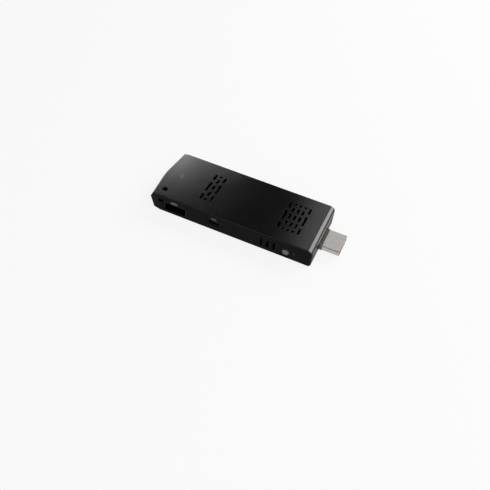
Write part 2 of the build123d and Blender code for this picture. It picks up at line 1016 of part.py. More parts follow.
def power_coils():
    """Four wound coils in a square beside the power chip."""
    middle = near_row_start() + power_chip_size + chip_gap + (coil_pitch + coil_size) / 2
    coils = []
    for dx in row(2, coil_pitch):
        for dy in row(2, coil_pitch):
            x = middle + dx
            y = near_row_y() + dy
            body = block(x, y, board_top, coil_size, coil_size, coil_height)
            body = chamfer(body.edges().filter_by(Axis.Z), coil_size * coil_corner_share)
            crown = coil_size * coil_crown_width_share
            top = board_top + coil_height
            coils.append(body + block(x, y, top, crown, crown, coil_height * coil_crown_share))
    return solids(coils)


def capacitors():
    """Two rows beside the processor, each piece with its end caps."""
    x, y = sink_middle()
    reach = processor_size / 2 + capacitor_pitch / 2
    pieces = []
    for side in (-1, 1):
        for shift in row(capacitor_count, capacitor_pitch):
            place = (x + shift, y + side * reach)
            body = block(*place, board_top, capacitor_width, capacitor_length, capacitor_height)
            waist = capacitor_length * (1 - 2 * capacitor_cap_share)
            body -= block(*place, board_top + capacitor_height * (1 - capacitor_cap_share / 2),
                          capacitor_width, waist, capacitor_height)
            pieces.append(body)
    return solids(pieces)


def crystals():
    """Clock crystals under the heat sink's far edge and at the end of the near row."""
    x, y = sink_middle()
    coils_end = near_row_start() + power_chip_size + chip_gap + coil_pitch + coil_size
    spots = (
        (x, y + sink_width / 2 - sink_leg_in),
        (coils_end + crystal_gap + crystal_length / 2, near_row_y()),
    )
    pieces = []
    for x, y in spots:
        base = block(x, y, board_top, crystal_length, crystal_width, crystal_height / 2)
        lid = block(x, y, board_top + crystal_height / 2, crystal_length * crystal_lid_share,
                    crystal_width * crystal_lid_share, crystal_height / 2)
        pieces.append(base + lid)
    return solids(pieces)


def clock_cell():
    """Coin cell on two soldered tabs, between the data port and the memory."""
    memory_x, y, width = memory_place()
    port_end = rear_x + data_port_from_rear + data_port_width / 2
    x = (port_end + memory_x - memory_length / 2) / 2
    low = board_top + cell_tab
    can = post(x, y, low, cell_radius, cell_height)
    reach = cell_radius + cell_tab_out
    return can + block(x, y, board_top, cell_tab_width, 2 * reach, cell_tab)


# Wireless module

def module_centre():
    return rear_x + module_start + module_length / 2, far_inner_y - module_in


def wireless_module():
    """Small board with two aerial sockets at its front edge."""
    x, y = module_centre()
    base = block(x, y, board_top, module_length, module_width, module_base)
    for lead_x, lead_y in lead_plug_places():
        base += boss(lead_x, lead_y, board_top + module_base, lead_plug_radius, lead_plug_height)
    return base


def lead_plug_places():
    x, y = module_centre()
    place_x = x + module_length / 2 - lead_plug_in
    aside = module_width * lead_plug_off_share
    return [(place_x, y - aside), (place_x, y + aside)]


def wireless_shield():
    """Folded can over the rear of the module, open at its foot."""
    x, y = module_centre()
    rear = x - module_length / 2 + shield_margin
    front = x + module_length / 2 - 2 * lead_plug_in
    half = module_width / 2 - shield_margin
    low = board_top + module_base
    can = limits(rear, front, y - half, y + half, low, low + shield_height)
    can = fillet(can.edges().filter_by(Axis.Z), shield_margin)
    sheet = shield_sheet
    inner_top = low + shield_height - sheet
    inner = limits(rear + sheet, front - sheet, y - half + sheet, y + half - sheet, low, inner_top)
    return can - inner


def antenna_sheet_form():
    """Thin layer that lies on the inner faces of the walls."""
    return envelope(side_wall, 0, antenna_low) - envelope(side_wall + antenna_sheet, 0, 0)


def antennas():
    """One sheet along the far wall and one on the rear wall, which follows its ridge."""
    top = lip_bottom_z - seat_gap
    layer = antenna_sheet_form()
    side_start = rear_x + rear_taper_length + antenna_start
    side_region = limits(side_start, side_start + antenna_length, 0, half_width, antenna_low, top)
    rear_region = limits(-outside, rear_x + seat_gap, antenna_start, half_width - antenna_start,
                         antenna_low, top)
    return solids([layer & side_region, layer & rear_region])


def antenna_leads():
    """Two thin leads from the module's sockets, each cut where it meets its antenna sheet."""
    near_start, far_start = lead_plug_places()
    lift = board_top + module_base + lead_plug_height + lead_radius
    height = (lift + lip_bottom_z) / 2
    side_x = far_start[0] + lead_turn
    far_path = FilletPolyline(
        (far_start[0], far_start[1], lift),
        (side_x, far_start[1] + lead_plug_radius, lift),
        (side_x, far_y, height),
        radius=lead_turn_radius,
    )
    turn_y = near_start[1] - lead_turn
    near_path = FilletPolyline(
        (near_start[0], near_start[1], lift),
        (near_start[0], turn_y, lift),
        (rear_x - rear_ridge_out - rear_point, turn_y + lead_plug_radius, height),
        radius=lead_turn_radius,
    )
    inside = envelope(side_wall + antenna_sheet, 0, 0)
    leads = []
    for path in (far_path, near_path):
        section = Plane(origin=path @ 0, z_dir=path % 0) * RegularPolygon(lead_radius, hexagon)
        leads.append(sweep(section, path=path) & inside)
    return solids(leads)


# Video plug

def video_plug_shell():
    """Folded metal shell with two latch windows in its underside."""
    section = plug_profile(0) - plug_profile(-plug_metal)
    shell = lengthwise(section, front_x - plug_inside, tip_x)
    for shift in row(2, 2 * plug_latch_spread):
        x = tip_x - plug_latch_from_tip - plug_latch_length / 2
        shell -= block(x, shift, 0, plug_latch_length, plug_latch_width, plug_middle_height)
    return shell


def video_plug_collar():
    """Second metal layer round the shell's root, half of it inside the case."""
    section = plug_profile(collar_metal) - plug_profile(0)
    return lengthwise(section, front_x - collar_inside, front_x + collar_reach)


def contact_bars():
    """Upper and lower rows of contacts, which end as tails on the board's two faces."""
    bars = []
    rear = front_x - plug_insert_inside - plug_tail
    front = tip_x - plug_contact_setback
    rows = (
        (plug_upper_contacts, board_top),
        (plug_lower_contacts, board_bottom - plug_contact_thickness),
    )
    for count, low in rows:
        for y in row(count, plug_contact_pitch):
            half = plug_contact_width / 2
            bars.append(limits(rear, front, y - half, y + half, low, low + plug_contact_thickness))
    return bars


def video_plug_insert():
    """Moulded block inside the shell, with a slot for the mating tongue and grooves for contacts."""
    rear = front_x - plug_insert_inside
    front = tip_x - plug_mouth
    insert = lengthwise(plug_profile(-plug_metal), rear, front)
    slot_half = plug_width / 2 - plug_metal - plug_slot_margin
    slot_low = plug_middle_height - plug_slot_height / 2
    slot_high = plug_middle_height + plug_slot_height / 2
    insert -= limits(tip_x - plug_slot_depth, tip_x, -slot_half, slot_half, slot_low, slot_high)
    for bar in contact_bars():
        insert -= bar
    return insert


def video_plug_contacts():
    return solids(contact_bars())


# Data port

def data_tongue_levels():
    """The tongue's underside lies a contact's thickness above the board."""
    low = board_top + data_contact_thickness
    return low, low + data_tongue_thickness


def data_port_shell():
    """Folded metal shell with leaf slots, held in the board's cut-out by two ears."""
    x = rear_x + data_port_from_rear
    front_y = near_y + port_setback
    back_y = front_y + data_port_depth
    section = data_port_profile(0) - data_port_profile(-data_port_metal)
    shell = across(section, back_y, front_y)
    leaf_y = near_inner_y + data_leaf_length
    for shift in row(2, 2 * data_leaf_spread):
        shell -= block(x + shift, leaf_y, 0, data_leaf_width, data_leaf_length, body_height)
    ear_y = back_y - data_ear_length
    for side in (-1, 1):
        inner = x + side * (data_port_width / 2 - data_port_metal)
        outer = x + side * (data_port_width / 2 + data_ear)
        low = min(inner, outer)
        high = max(inner, outer)
        shell += limits(low, high, ear_y, back_y, board_top, board_top + data_port_metal)
    return shell


def data_port_bars():
    x = rear_x + data_port_from_rear
    back_y = near_y + port_setback + data_port_depth
    tongue_front = back_y - data_back - data_tongue_length
    bars = []
    for shift in row(data_contacts, data_contact_pitch):
        half = data_contact_width / 2
        bars.append(limits(x + shift - half, x + shift + half, tongue_front + data_contact_thickness,
                           back_y + data_tail, board_top, board_top + data_contact_thickness))
    return bars


def data_port_tongue():
    """Moulded back wall and tongue, the contacts lying on the tongue's underside."""
    x = rear_x + data_port_from_rear
    back_y = near_y + port_setback + data_port_depth
    wall = across(data_port_profile(-data_port_metal), back_y, back_y - data_back)
    low, high = data_tongue_levels()
    half = data_tongue_width / 2
    tongue_front = back_y - data_back - data_tongue_length
    tongue = limits(x - half, x + half, tongue_front, back_y - data_back / 2, low, high)
    tongue = chamfer(tongue.edges().filter_by(Axis.X).group_by(Axis.Y)[0], data_contact_thickness)
    body = wall + tongue
    for bar in data_port_bars():
        body -= bar
    return body


def data_port_contacts():
    return solids(data_port_bars())


# Power port

def power_port_shell():
    """Folded metal shell that sits on the board with two soldered ears."""
    x = power_port_x
    front_y = near_y + port_setback
    back_y = front_y + power_port_depth
    section = power_port_profile(0) - power_port_profile(power_port_metal)
    shell = across(section, back_y, front_y)
    half = power_port_foot_width / 2
    reach = power_port_width / 2 + power_ear
    ear_y = back_y - power_ear_length
    for side in (-1, 1):
        inner = x + side * (half - power_port_metal)
        outer = x + side * reach
        shell += limits(min(inner, outer), max(inner, outer), ear_y, back_y,
                        board_top, board_top + power_port_metal)
    return shell


def power_port_bars():
    x = power_port_x
    back_y = near_y + port_setback + power_port_depth
    front = back_y - power_back - power_tongue_length + power_contact_thickness
    low = power_contact_level()
    bars = []
    for shift in row(power_contacts, power_contact_pitch):
        half = power_contact_width / 2
        bars.append(limits(x + shift - half, x + shift + half, front, back_y,
                           low, low + power_contact_thickness))
    return bars


def power_contact_level():
    """The contacts lie on top of the tongue, which is in the middle of the shell."""
    middle = board_top + power_port_height / 2
    return middle + power_tongue_thickness / 2


def power_port_tongue():
    x = power_port_x
    back_y = near_y + port_setback + power_port_depth
    wall = across(power_port_profile(power_port_metal), back_y, back_y - power_back)
    high = power_contact_level()
    half = power_tongue_width / 2
    tongue = limits(x - half, x + half, back_y - power_back - power_tongue_length,
                    back_y - power_back / 2, high - power_tongue_thickness, high)
    body = wall + tongue
    for bar in power_port_bars():
        body -= bar
    return body


def power_port_contacts():
    return solids(power_port_bars())


# Card socket

def card_span():
    """Mouth and back of the card socket across the width."""
    mouth = far_inner_y - seat_gap
    return mouth, mouth - card_length


def card_socket_frame():
    """Moulded base with two side rails and a back stop."""
    x = card_centre_x()
    mouth, back = card_span()
    half = card_width / 2 - card_metal
    top = board_top + card_height - card_metal
    frame = limits(x - half, x + half, back, mouth, board_top, top)
    inner = card_slot_width / 2
    frame -= limits(x - inner, x + inner, back + card_rail, mouth + overrun, board_top + card_base,
                    body_height)
    for bar in card_bars():
        frame -= bar
    return frame


def card_bars():
    x = card_centre_x()
    mouth, back = card_span()
    low = board_top + card_base - card_contact_thickness
    start = back + card_rail + card_contact_start
    bars = []
    for shift in row(card_contacts, card_contact_pitch):
        half = card_contact_width / 2
        bars.append(limits(x + shift - half, x + shift + half, back - card_tail,
                           start + card_contact_length, low, board_top + card_base))
    return bars


def card_socket_contacts():
    return solids(card_bars())


def card_socket_shell():
    """Sheet lid folded down both sides of the frame."""
    x = card_centre_x()
    mouth, back = card_span()
    half = card_width / 2
    top = board_top + card_height
    shell = limits(x - half, x + half, back, mouth, board_top, top)
    sheet = card_metal
    shell -= limits(x - half + sheet, x + half - sheet, back - overrun, mouth + overrun, 0, top - sheet)
    window = card_slot_width / 2 - card_rail
    middle = (mouth + back) / 2
    depth = card_length * card_window_share
    shell -= limits(x - window, x - card_rail, middle - depth, middle, board_top, body_height)
    return shell


# Blower

def fan_levels():
    """Heights of the blower's floor, the space above it, the lid's underside and its top."""
    floor = board_top + fan_floor_gap
    top = ceiling_z - fan_headroom
    return floor, floor + fan_sheet, top - fan_sheet, top


def volute_outline(wall):
    """Scroll in plan: a widening curve round the rotor that runs out into the outlet duct."""
    centre_x, centre_y = fan_centre()
    outlet_y = near_inner_y + fan_outlet_gap
    left = centre_x - volute_radius(half_turn) - wall
    right = left + fan_outlet_width + 2 * wall
    points = []
    for index in range(2 * volute_arcs + 1):
        angle = volute_start + (half_turn - volute_start) * index / (2 * volute_arcs)
        radius = volute_radius(angle) + wall
        points.append((centre_x + radius * cos(radians(angle)), centre_y + radius * sin(radians(angle))))
    scroll = Curve()
    for first in range(0, 2 * volute_arcs, 2):
        start, middle, end = points[first], points[first + 1], points[first + 2]
        scroll += ThreePointArc(start, middle, end)
    foot_x = max(right, points[0][0])
    sides = Polyline(points[-1], (left, outlet_y), (foot_x, outlet_y), points[0])
    return make_face(scroll + sides)


def fan_housing():
    """Scroll-shaped tray with an outlet, a bearing post and three screw lugs."""
    floor, space, lid, top = fan_levels()
    x, y = fan_centre()
    outlet_y = near_inner_y + fan_outlet_gap
    tray = upright(volute_outline(fan_wall), floor, lid)
    for lug_x, lug_y in fan_screw_places():
        tray += boss(lug_x, lug_y, board_top, fan_lug_radius, fan_lug_height)
    hollow = upright(volute_outline(0), space, top)
    left = x - volute_radius(half_turn)
    hollow += limits(left, left + fan_outlet_width, outlet_y - overrun, near_inner_y + side_wall,
                     space, top)
    tray -= hollow
    bearing_outer = fan_shaft_radius + fan_shaft_gap + fan_bearing_wall
    socket_top = space + fan_rotor_gap + fan_bearing_flange
    tray += post(x, y, floor, fan_core_radius, socket_top - floor)
    tray -= post(x, y, space, bearing_outer, body_height)
    for lug_x, lug_y in fan_screw_places():
        tray -= screw_pin(lug_x, lug_y, 0, screw_radius + hole_gap, body_height)
    slot_angle = radians(fan_lead_angle)
    slot_x = x + volute_radius(fan_lead_angle) * cos(slot_angle)
    slot_y = y + volute_radius(fan_lead_angle) * sin(slot_angle)
    slot = Pos(slot_x, slot_y, space + wire_radius) * Rot(0, 0, fan_lead_angle) * Box(
        2 * (fan_wall + hole_gap), 2 * wire_pitch, 2 * (wire_radius + hole_gap))
    return tray - slot


def fan_cover():
    """Flat lid with the round air inlet over the rotor."""
    floor, space, lid, top = fan_levels()
    x, y = fan_centre()
    plate = upright(volute_outline(fan_wall), lid, top)
    return plate - post(x, y, 0, fan_inlet_radius, body_height + overrun)


def rotor_levels():
    """Foot and top of the rotor, a running gap off the floor and the lid."""
    floor, space, lid, top = fan_levels()
    return space + fan_rotor_gap, lid - fan_rotor_gap


def fan_blade_sketch():
    """One blade, bowed forward between the hub and the tip."""
    inner = fan_hub_radius - fan_hub_wall / 2
    outer = fan_rotor_radius - fan_blade / 2
    lean = radians(fan_blade_lean)
    half = fan_blade / 2
    root = Vector(inner, 0)
    tip = Vector(outer * cos(lean), outer * sin(lean))
    middle = (root + tip) / 2 - Vector(0, fan_blade_bow)
    lift = Vector(0, half)
    return polygon(root + lift, middle + lift, tip + lift, tip - lift, middle - lift, root - lift)


def fan_impeller():
    """Cup-shaped hub with forward-curved blades round it."""
    low, high = rotor_levels()
    x, y = fan_centre()
    hub = Pos(x, y, (low + high) / 2) * Cylinder(fan_hub_radius, high - low)
    hub = chamfer(hub.edges().group_by(Axis.Z)[-1], fan_hub_round)
    blade = fan_blade_sketch()
    for index in range(fan_blades):
        turn = Pos(x, y) * Rot(0, 0, index * full_turn / fan_blades)
        hub += upright(turn * blade, low, high - fan_hub_round)
    cup = fan_hub_radius - fan_hub_wall
    hub -= post(x, y, 0, cup, high - fan_hub_top)
    shaft_top = high - fan_hub_top / 2
    return hub - post(x, y, 0, fan_shaft_radius, shaft_top)


def fan_magnet():
    """Ring magnet inside the hub."""
    low, high = rotor_levels()
    x, y = fan_centre()
    outer = fan_hub_radius - fan_hub_wall
    height = high - fan_hub_top - low
    ring = post(x, y, low, outer, height)
    return ring - post(x, y, 0, outer - fan_magnet_wall, body_height)


def fan_shaft():
    low, high = rotor_levels()
    floor, space, lid, top = fan_levels()
    x, y = fan_centre()
    foot = space + fan_shaft_gap
    return post(x, y, foot, fan_shaft_radius, high - fan_hub_top / 2 - foot)


def fan_bearing():
    """Sleeve that stands in the housing's socket and carries the shaft."""
    low, high = rotor_levels()
    floor, space, lid, top = fan_levels()
    x, y = fan_centre()
    outer = fan_shaft_radius + fan_shaft_gap + fan_bearing_wall
    height = high - fan_hub_top - fan_rotor_gap - space
    sleeve = post(x, y, space, outer, height)
    return sleeve - post(x, y, 0, fan_shaft_radius + fan_shaft_gap, body_height)


def fan_coil():
    """Four-armed core with its windings, pressed on the bearing above the socket."""
    low, high = rotor_levels()
    floor, space, lid, top = fan_levels()
    x, y = fan_centre()
    socket_top = space + fan_rotor_gap + fan_bearing_flange
    ceiling = high - fan_hub_top - fan_rotor_gap
    height = (ceiling - socket_top) * fan_coil_height_share
    outer = fan_hub_radius - fan_hub_wall - fan_magnet_wall - fan_coil_gap
    reach = outer - fan_coil_shoe / 2
    sketch = Circle(fan_core_radius)
    for index in range(fan_coil_arms):
        turn = Rot(0, 0, index * full_turn / fan_coil_arms)
        sketch += turn * Pos(reach / 2, 0) * Rectangle(reach, fan_coil_arm_width)
    ring = Circle(outer) - Circle(outer - fan_coil_shoe)
    half = radians(fan_coil_shoe_angle / 2)
    wedge = polygon((0, 0), (2 * outer * cos(half), 2 * outer * sin(half)),
                    (2 * outer * cos(half), -2 * outer * sin(half)))
    for index in range(fan_coil_arms):
        sketch += Rot(0, 0, index * full_turn / fan_coil_arms) * (ring & wedge)
    core = upright(Pos(x, y) * sketch, socket_top, socket_top + height)
    bearing_outer = fan_shaft_radius + fan_shaft_gap + fan_bearing_wall
    return core - post(x, y, 0, bearing_outer, body_height)


def fan_screws():
    foot = board_bottom - screw_in_post
    seat = board_top + fan_lug_height
    return solids([screw(x, y, seat, foot) for x, y in fan_screw_places()])


def fan_socket_centre():
    x, y = fan_centre()
    reach = volute_radius(fan_lead_angle) + fan_wall + fan_socket_place
    angle = radians(fan_lead_angle)
    return x + reach * cos(angle), y + reach * sin(angle)


def fan_socket():
    """Small socket for the blower's lead, turned to face it."""
    floor, space, lid, top = fan_levels()
    x, y = fan_socket_centre()
    turn = Pos(x, y) * Rot(0, 0, fan_lead_angle)
    body = turn * block(0, 0, board_top, fan_socket_length, fan_socket_width, fan_socket_height)
    mouth_width = wire_pitch + 2 * (wire_radius + hole_gap)
    mouth = turn * block(-fan_socket_length / 2, 0, space - hole_gap, fan_socket_length, mouth_width,
                         2 * (wire_radius + hole_gap))
    return body - mouth


def fan_lead():
    """Two wires from the coil's side of the housing to the socket."""
    floor, space, lid, top = fan_levels()
    x, y = fan_centre()
    angle = radians(fan_lead_angle)
    along = Vector(cos(angle), sin(angle))
    aside = Vector(-sin(angle), cos(angle))
    start = volute_radius(fan_lead_angle) - fan_wall
    end = volute_radius(fan_lead_angle) + fan_wall + fan_socket_place
    wires = []
    for shift in row(2, wire_pitch):
        first = Vector(x, y, space + wire_radius) + along * start + aside * shift
        last = Vector(x, y, space + wire_radius) + along * end + aside * shift
        section = Plane(origin=first, z_dir=along) * RegularPolygon(wire_radius, hexagon)
        wires.append(extrude(section, amount=(last - first).length))
    return solids(wires)


nodes = {
    "top_cover": top_cover,
    "bottom_case": bottom_case,
    "power_button": power_button,
    "switch_plunger": switch_plunger,
    "switch_body": switch_body,
    "top_light_pipe": top_light_pipe,
    "side_light_pipe": side_light_pipe,
    "status_lights": status_lights,
    "main_board": main_board,
    "board_screws": board_screws,
    "processor": processor,
    "thermal_pad": thermal_pad,
    "heat_sink": heat_sink,
    "sink_screws": sink_screws,
    "memory_chips": memory_chips,
    "storage_chip": storage_chip,
    "power_chip": power_chip,
    "power_coils": power_coils,
    "capacitors": capacitors,
    "crystals": crystals,
    "clock_cell": clock_cell,
    "wireless_module": wireless_module,
    "wireless_shield": wireless_shield,
    "antennas": antennas,
    "antenna_leads": antenna_leads,
    "video_plug_shell": video_plug_shell,
    "video_plug_collar": video_plug_collar,
    "video_plug_insert": video_plug_insert,
    "video_plug_contacts": video_plug_contacts,
    "data_port_shell": data_port_shell,
    "data_port_tongue": data_port_tongue,
    "data_port_contacts": data_port_contacts,
    "power_port_shell": power_port_shell,
    "power_port_tongue": power_port_tongue,
    "power_port_contacts": power_port_contacts,
    "card_socket_shell": card_socket_shell,
    "card_socket_frame": card_socket_frame,
    "card_socket_contacts": card_socket_contacts,
    "fan_housing": fan_housing,
    "fan_cover": fan_cover,
    "fan_impeller": fan_impeller,
    "fan_magnet": fan_magnet,
    "fan_shaft": fan_shaft,
    "fan_bearing": fan_bearing,
    "fan_coil": fan_coil,
    "fan_screws": fan_screws,
    "fan_socket": fan_socket,
    "fan_lead": fan_lead,
}

for name, make in nodes.items():
    export_step(make(), "parts/" + name + ".step")
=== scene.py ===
"""Looks of the stick computer: camera, light, finishes and the fine forms over the solids.

+X points towards the video plug, the side with the button and ports faces -Y, and +Z is up.
Blender works in metres. Names that end in _mm, outlines and profiles are in millimetres.
"""

import json
from math import cos, pi, radians, sin, tau

import bmesh
import bpy
from mathutils import Matrix, Vector


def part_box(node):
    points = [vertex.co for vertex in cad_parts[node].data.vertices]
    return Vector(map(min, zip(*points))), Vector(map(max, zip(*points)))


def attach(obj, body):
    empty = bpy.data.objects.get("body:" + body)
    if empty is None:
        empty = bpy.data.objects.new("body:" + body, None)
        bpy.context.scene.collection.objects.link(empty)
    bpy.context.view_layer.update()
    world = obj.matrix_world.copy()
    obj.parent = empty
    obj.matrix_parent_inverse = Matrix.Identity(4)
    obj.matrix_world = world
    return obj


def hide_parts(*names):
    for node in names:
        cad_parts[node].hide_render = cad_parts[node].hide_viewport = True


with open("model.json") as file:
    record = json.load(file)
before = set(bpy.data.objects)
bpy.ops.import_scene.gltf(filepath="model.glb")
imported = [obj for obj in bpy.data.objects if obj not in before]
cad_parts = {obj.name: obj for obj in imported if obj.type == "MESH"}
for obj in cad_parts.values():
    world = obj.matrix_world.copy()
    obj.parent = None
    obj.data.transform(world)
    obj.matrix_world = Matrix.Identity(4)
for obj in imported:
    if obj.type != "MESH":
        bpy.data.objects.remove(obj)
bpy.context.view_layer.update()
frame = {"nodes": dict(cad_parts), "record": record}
nodes = frame["nodes"]
MM = 0.001


def new_object(name, data):
    made = bpy.data.objects.new(name, data)
    bpy.context.scene.collection.objects.link(made)
    return made


def place_camera():
    """The photograph's viewpoint, solved from the corners of the body."""
    camera = bpy.data.cameras.new("camera")
    camera.lens = 47.83
    camera.sensor_width = 36.0
    camera.clip_start = 0.02
    camera.clip_end = 10.0
    holder = new_object("camera", camera)
    right = Vector((0.91158, 0.40076, 0.09173))
    up = Vector((-0.35204, 0.64565, 0.67764))
    forward = Vector((-0.21235, 0.65002, -0.72965))
    turn = Matrix((right, up, -forward)).transposed().to_4x4()
    place = Vector((79.006, -243.388, 250.657)) * MM
    holder.matrix_world = Matrix.Translation(place) @ turn
    bpy.context.scene.camera = holder


place_camera()


# Node trees in plain Python

class Signal:
    """A socket of a node tree; Python's operators on it add Math nodes."""

    def __init__(self, tree, socket):
        self.tree = tree
        self.socket = socket

    def combine(self, operation, first, second):
        node = self.tree.nodes.new("ShaderNodeMath")
        node.operation = operation
        for slot, value in zip(node.inputs, (first, second)):
            connect(self.tree, slot, value)
        return Signal(self.tree, node.outputs[0])

    def __add__(self, other):
        return self.combine("ADD", self, other)

    def __radd__(self, other):
        return self.combine("ADD", other, self)

    def __sub__(self, other):
        return self.combine("SUBTRACT", self, other)

    def __rsub__(self, other):
        return self.combine("SUBTRACT", other, self)

    def __mul__(self, other):
        return self.combine("MULTIPLY", self, other)

    def __rmul__(self, other):
        return self.combine("MULTIPLY", other, self)

    def __truediv__(self, other):
        return self.combine("DIVIDE", self, other)

    def __pow__(self, other):
        return self.combine("POWER", self, other)

    def __gt__(self, other):
        return self.combine("GREATER_THAN", self, other)

    def __lt__(self, other):
        return self.combine("LESS_THAN", self, other)

    def between(self, low, high):
        """0 below the low value, 1 above the high one and smooth between them."""
        node = self.tree.nodes.new("ShaderNodeMapRange")
        node.interpolation_type = "SMOOTHSTEP"
        for name, value in (("Value", self), ("From Min", low), ("From Max", high)):
            connect(self.tree, node.inputs[name], value)
        return Signal(self.tree, node.outputs["Result"])


def connect(tree, slot, value):
    """Links a Signal to a socket, or sets the socket to a number, colour or vector."""
    if isinstance(value, Signal):
        tree.links.new(value.socket, slot)
    elif isinstance(value, (tuple, list)) and len(value) == 3 and slot.type == "RGBA":
        slot.default_value = (*value, 1.0)
    else:
        slot.default_value = value


class Graph:
    """A node tree, built node by node."""

    def __init__(self, tree):
        self.tree = tree

    def node(self, kind, settings=None, inputs=None):
        """Adds a node: its settings first, then the values or links of its sockets."""
        made = self.tree.nodes.new(kind)
        for name, value in (settings or {}).items():
            setattr(made, name, value)
        for name, value in (inputs or {}).items():
            connect(self.tree, made.inputs[name], value)
        outputs = {}
        for socket in made.outputs:
            if socket.enabled:
                outputs.setdefault(socket.name, Signal(self.tree, socket))
        return outputs


class Finish(Graph):
    """A material with a Principled shader."""

    def __init__(self, name, **looks):
        self.material = bpy.data.materials.new(name)
        self.material.use_nodes = True
        super().__init__(self.material.node_tree)
        self.shader = self.tree.nodes["Principled BSDF"]
        self.place = self.node("ShaderNodeTexCoord")["Object"]
        self.set(**looks)

    def set(self, **looks):
        for name, value in looks.items():
            connect(self.tree, self.shader.inputs[name.replace("_", " ")], value)
        return self

    def noise(self, size_mm, detail=2.0, roughness=0.5, place=None):
        """Noise from 0 to 1 with features of about the size given."""
        inputs = {
            "Vector": place or self.place,
            "Scale": 1.0 / (size_mm * MM),
            "Detail": detail,
            "Roughness": roughness,
        }
        return self.node("ShaderNodeTexNoise", None, inputs)["Fac"]

    def axes(self):
        parts = self.node("ShaderNodeSeparateXYZ", None, {"Vector": self.place})
        return parts["X"], parts["Y"], parts["Z"]

    def stretched(self, scale):
        """Object coordinates scaled along the axes, for brushed or rolled marks."""
        inputs = {"Vector": self.place, "Scale": scale}
        return self.node("ShaderNodeMapping", {"vector_type": "POINT"}, inputs)["Vector"]

    def blend(self, share, first, second):
        """Mixes two colours."""
        made = self.tree.nodes.new("ShaderNodeMix")
        made.data_type = "RGBA"
        connect(self.tree, made.inputs["Factor"], share)
        colours = [socket for socket in made.inputs if socket.type == "RGBA"]
        for socket, colour in zip(colours, (first, second)):
            connect(self.tree, socket, colour)
        mixed = [socket for socket in made.outputs if socket.type == "RGBA"][0]
        return Signal(self.tree, mixed)

    def bump(self, height, depth_mm, strength=1.0):
        inputs = {"Height": height, "Distance": depth_mm * MM, "Strength": strength}
        return self.set(Normal=self.node("ShaderNodeBump", None, inputs)["Normal"])


class Shape(Graph):
    """A Geometry Nodes tree with named sizes, run on a mesh to give a plain one."""

    kinds = {float: "NodeSocketFloat", int: "NodeSocketInt", str: "NodeSocketObject"}

    def __init__(self, name, **sizes):
        super().__init__(bpy.data.node_groups.new(name, "GeometryNodeTree"))
        face = self.tree.interface
        face.new_socket("Geometry", in_out="INPUT", socket_type="NodeSocketGeometry")
        face.new_socket("Finish", in_out="INPUT", socket_type="NodeSocketMaterial")
        for title, value in sizes.items():
            kind = self.kinds[type(value)]
            socket = face.new_socket(title, in_out="INPUT", socket_type=kind)
            if not isinstance(value, str):
                socket.default_value = value
        self.keys = {socket.name: socket.identifier for socket in face.items_tree}
        face.new_socket("Geometry", in_out="OUTPUT", socket_type="NodeSocketGeometry")
        start = self.tree.nodes.new("NodeGroupInput")
        self.given = {socket.name: Signal(self.tree, socket) for socket in start.outputs}

    def finish(self, geometry):
        """Makes instances real and gives the whole form its material."""
        whole = self.node("GeometryNodeRealizeInstances", None, {"Geometry": geometry})
        painted = self.node("GeometryNodeSetMaterial", None, {
            "Geometry": whole["Geometry"], "Material": self.given["Finish"]})
        end = self.tree.nodes.new("NodeGroupOutput")
        connect(self.tree, end.inputs[0], painted["Geometry"])

    def run(self, name, carrier, finish, weigh=False, **sizes):
        """Applies the tree to an object, which it uses up, and returns the finished piece."""
        modifier = carrier.modifiers.new(name, "NODES")
        modifier.node_group = self.tree
        modifier[self.keys["Finish"]] = finish
        for title, value in sizes.items():
            modifier[self.keys[title]] = value
        if weigh:
            normals = carrier.modifiers.new("normals", "WEIGHTED_NORMAL")
            normals.keep_sharp = True
        mesh = evaluated_mesh(carrier)
        mesh.name = name
        bpy.data.objects.remove(carrier)
        return new_object(name, mesh)


def evaluated_mesh(carrier):
    bpy.context.view_layer.update()
    seen = carrier.evaluated_get(bpy.context.evaluated_depsgraph_get())
    return bpy.data.meshes.new_from_object(seen)


# Finishes

def moulded_plastic(name, dark, pale, roughness, grain_mm, depth_mm, shine=0.5, slotted=None):
    """Fine spark-textured plastic: the grain changes its gloss, its colour and its surface.
    In a slotted node, the inner faces and the walls of the slots shine less: they turn to
    near-black metal with rougher gloss, a painted shade that keeps the slots dark."""
    finish = Finish(name, Specular_IOR_Level=shine)
    grain = finish.noise(grain_mm, 3.0, 0.6)
    cloud = finish.noise(14.0, 2.0)
    finish.set(Base_Color=finish.blend(grain * 0.6 + cloud * 0.4, dark, pale))
    gloss = roughness - 0.06 + grain * 0.08 + cloud * 0.05
    if slotted:
        low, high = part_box(slotted)
        x, y, z = finish.axes()
        side, nose, skin = 1.2 * MM, 4.0 * MM, 0.008 * MM
        # Painted shade: inner faces and slot walls become near-black rough metal that reflects
        # almost nothing.
        inner = (x < high.x - nose) * (y > low.y + side) * (y < high.y - side)
        inner = inner * (z < high.z - skin)
        finish.set(Metallic=inner * 0.97)
        gloss = gloss + inner * 0.6
    finish.set(Roughness=gloss)
    finish.bump(grain, depth_mm, 0.6)
    return finish.material


def plated_metal(name, dark, pale, roughness, streak=(1, 6, 6), streak_mm=0.5):
    """Rolled and plated sheet with faint streaks along its length."""
    finish = Finish(name, Metallic=1.0)
    streaks = finish.noise(streak_mm, 3.0, 0.6, finish.stretched(streak))
    stain = finish.noise(3.0, 2.0)
    finish.set(Base_Color=finish.blend(streaks * 0.5 + stain * 0.5, dark, pale))
    finish.set(Roughness=roughness - 0.03 + streaks * 0.05 + stain * 0.04)
    finish.bump(streaks, 0.0005, 0.3)
    return finish.material


def window_plastic(name, dark, pale, clarity, shine=0.5):
    """Tinted light window, polished on its face and clouded a little inside."""
    finish = Finish(name, Transmission_Weight=clarity, IOR=1.5, Specular_IOR_Level=shine)
    cloud = finish.noise(0.5, 2.0)
    finish.set(Base_Color=finish.blend(cloud, dark, pale), Roughness=0.15 + cloud * 0.06)
    return finish.material


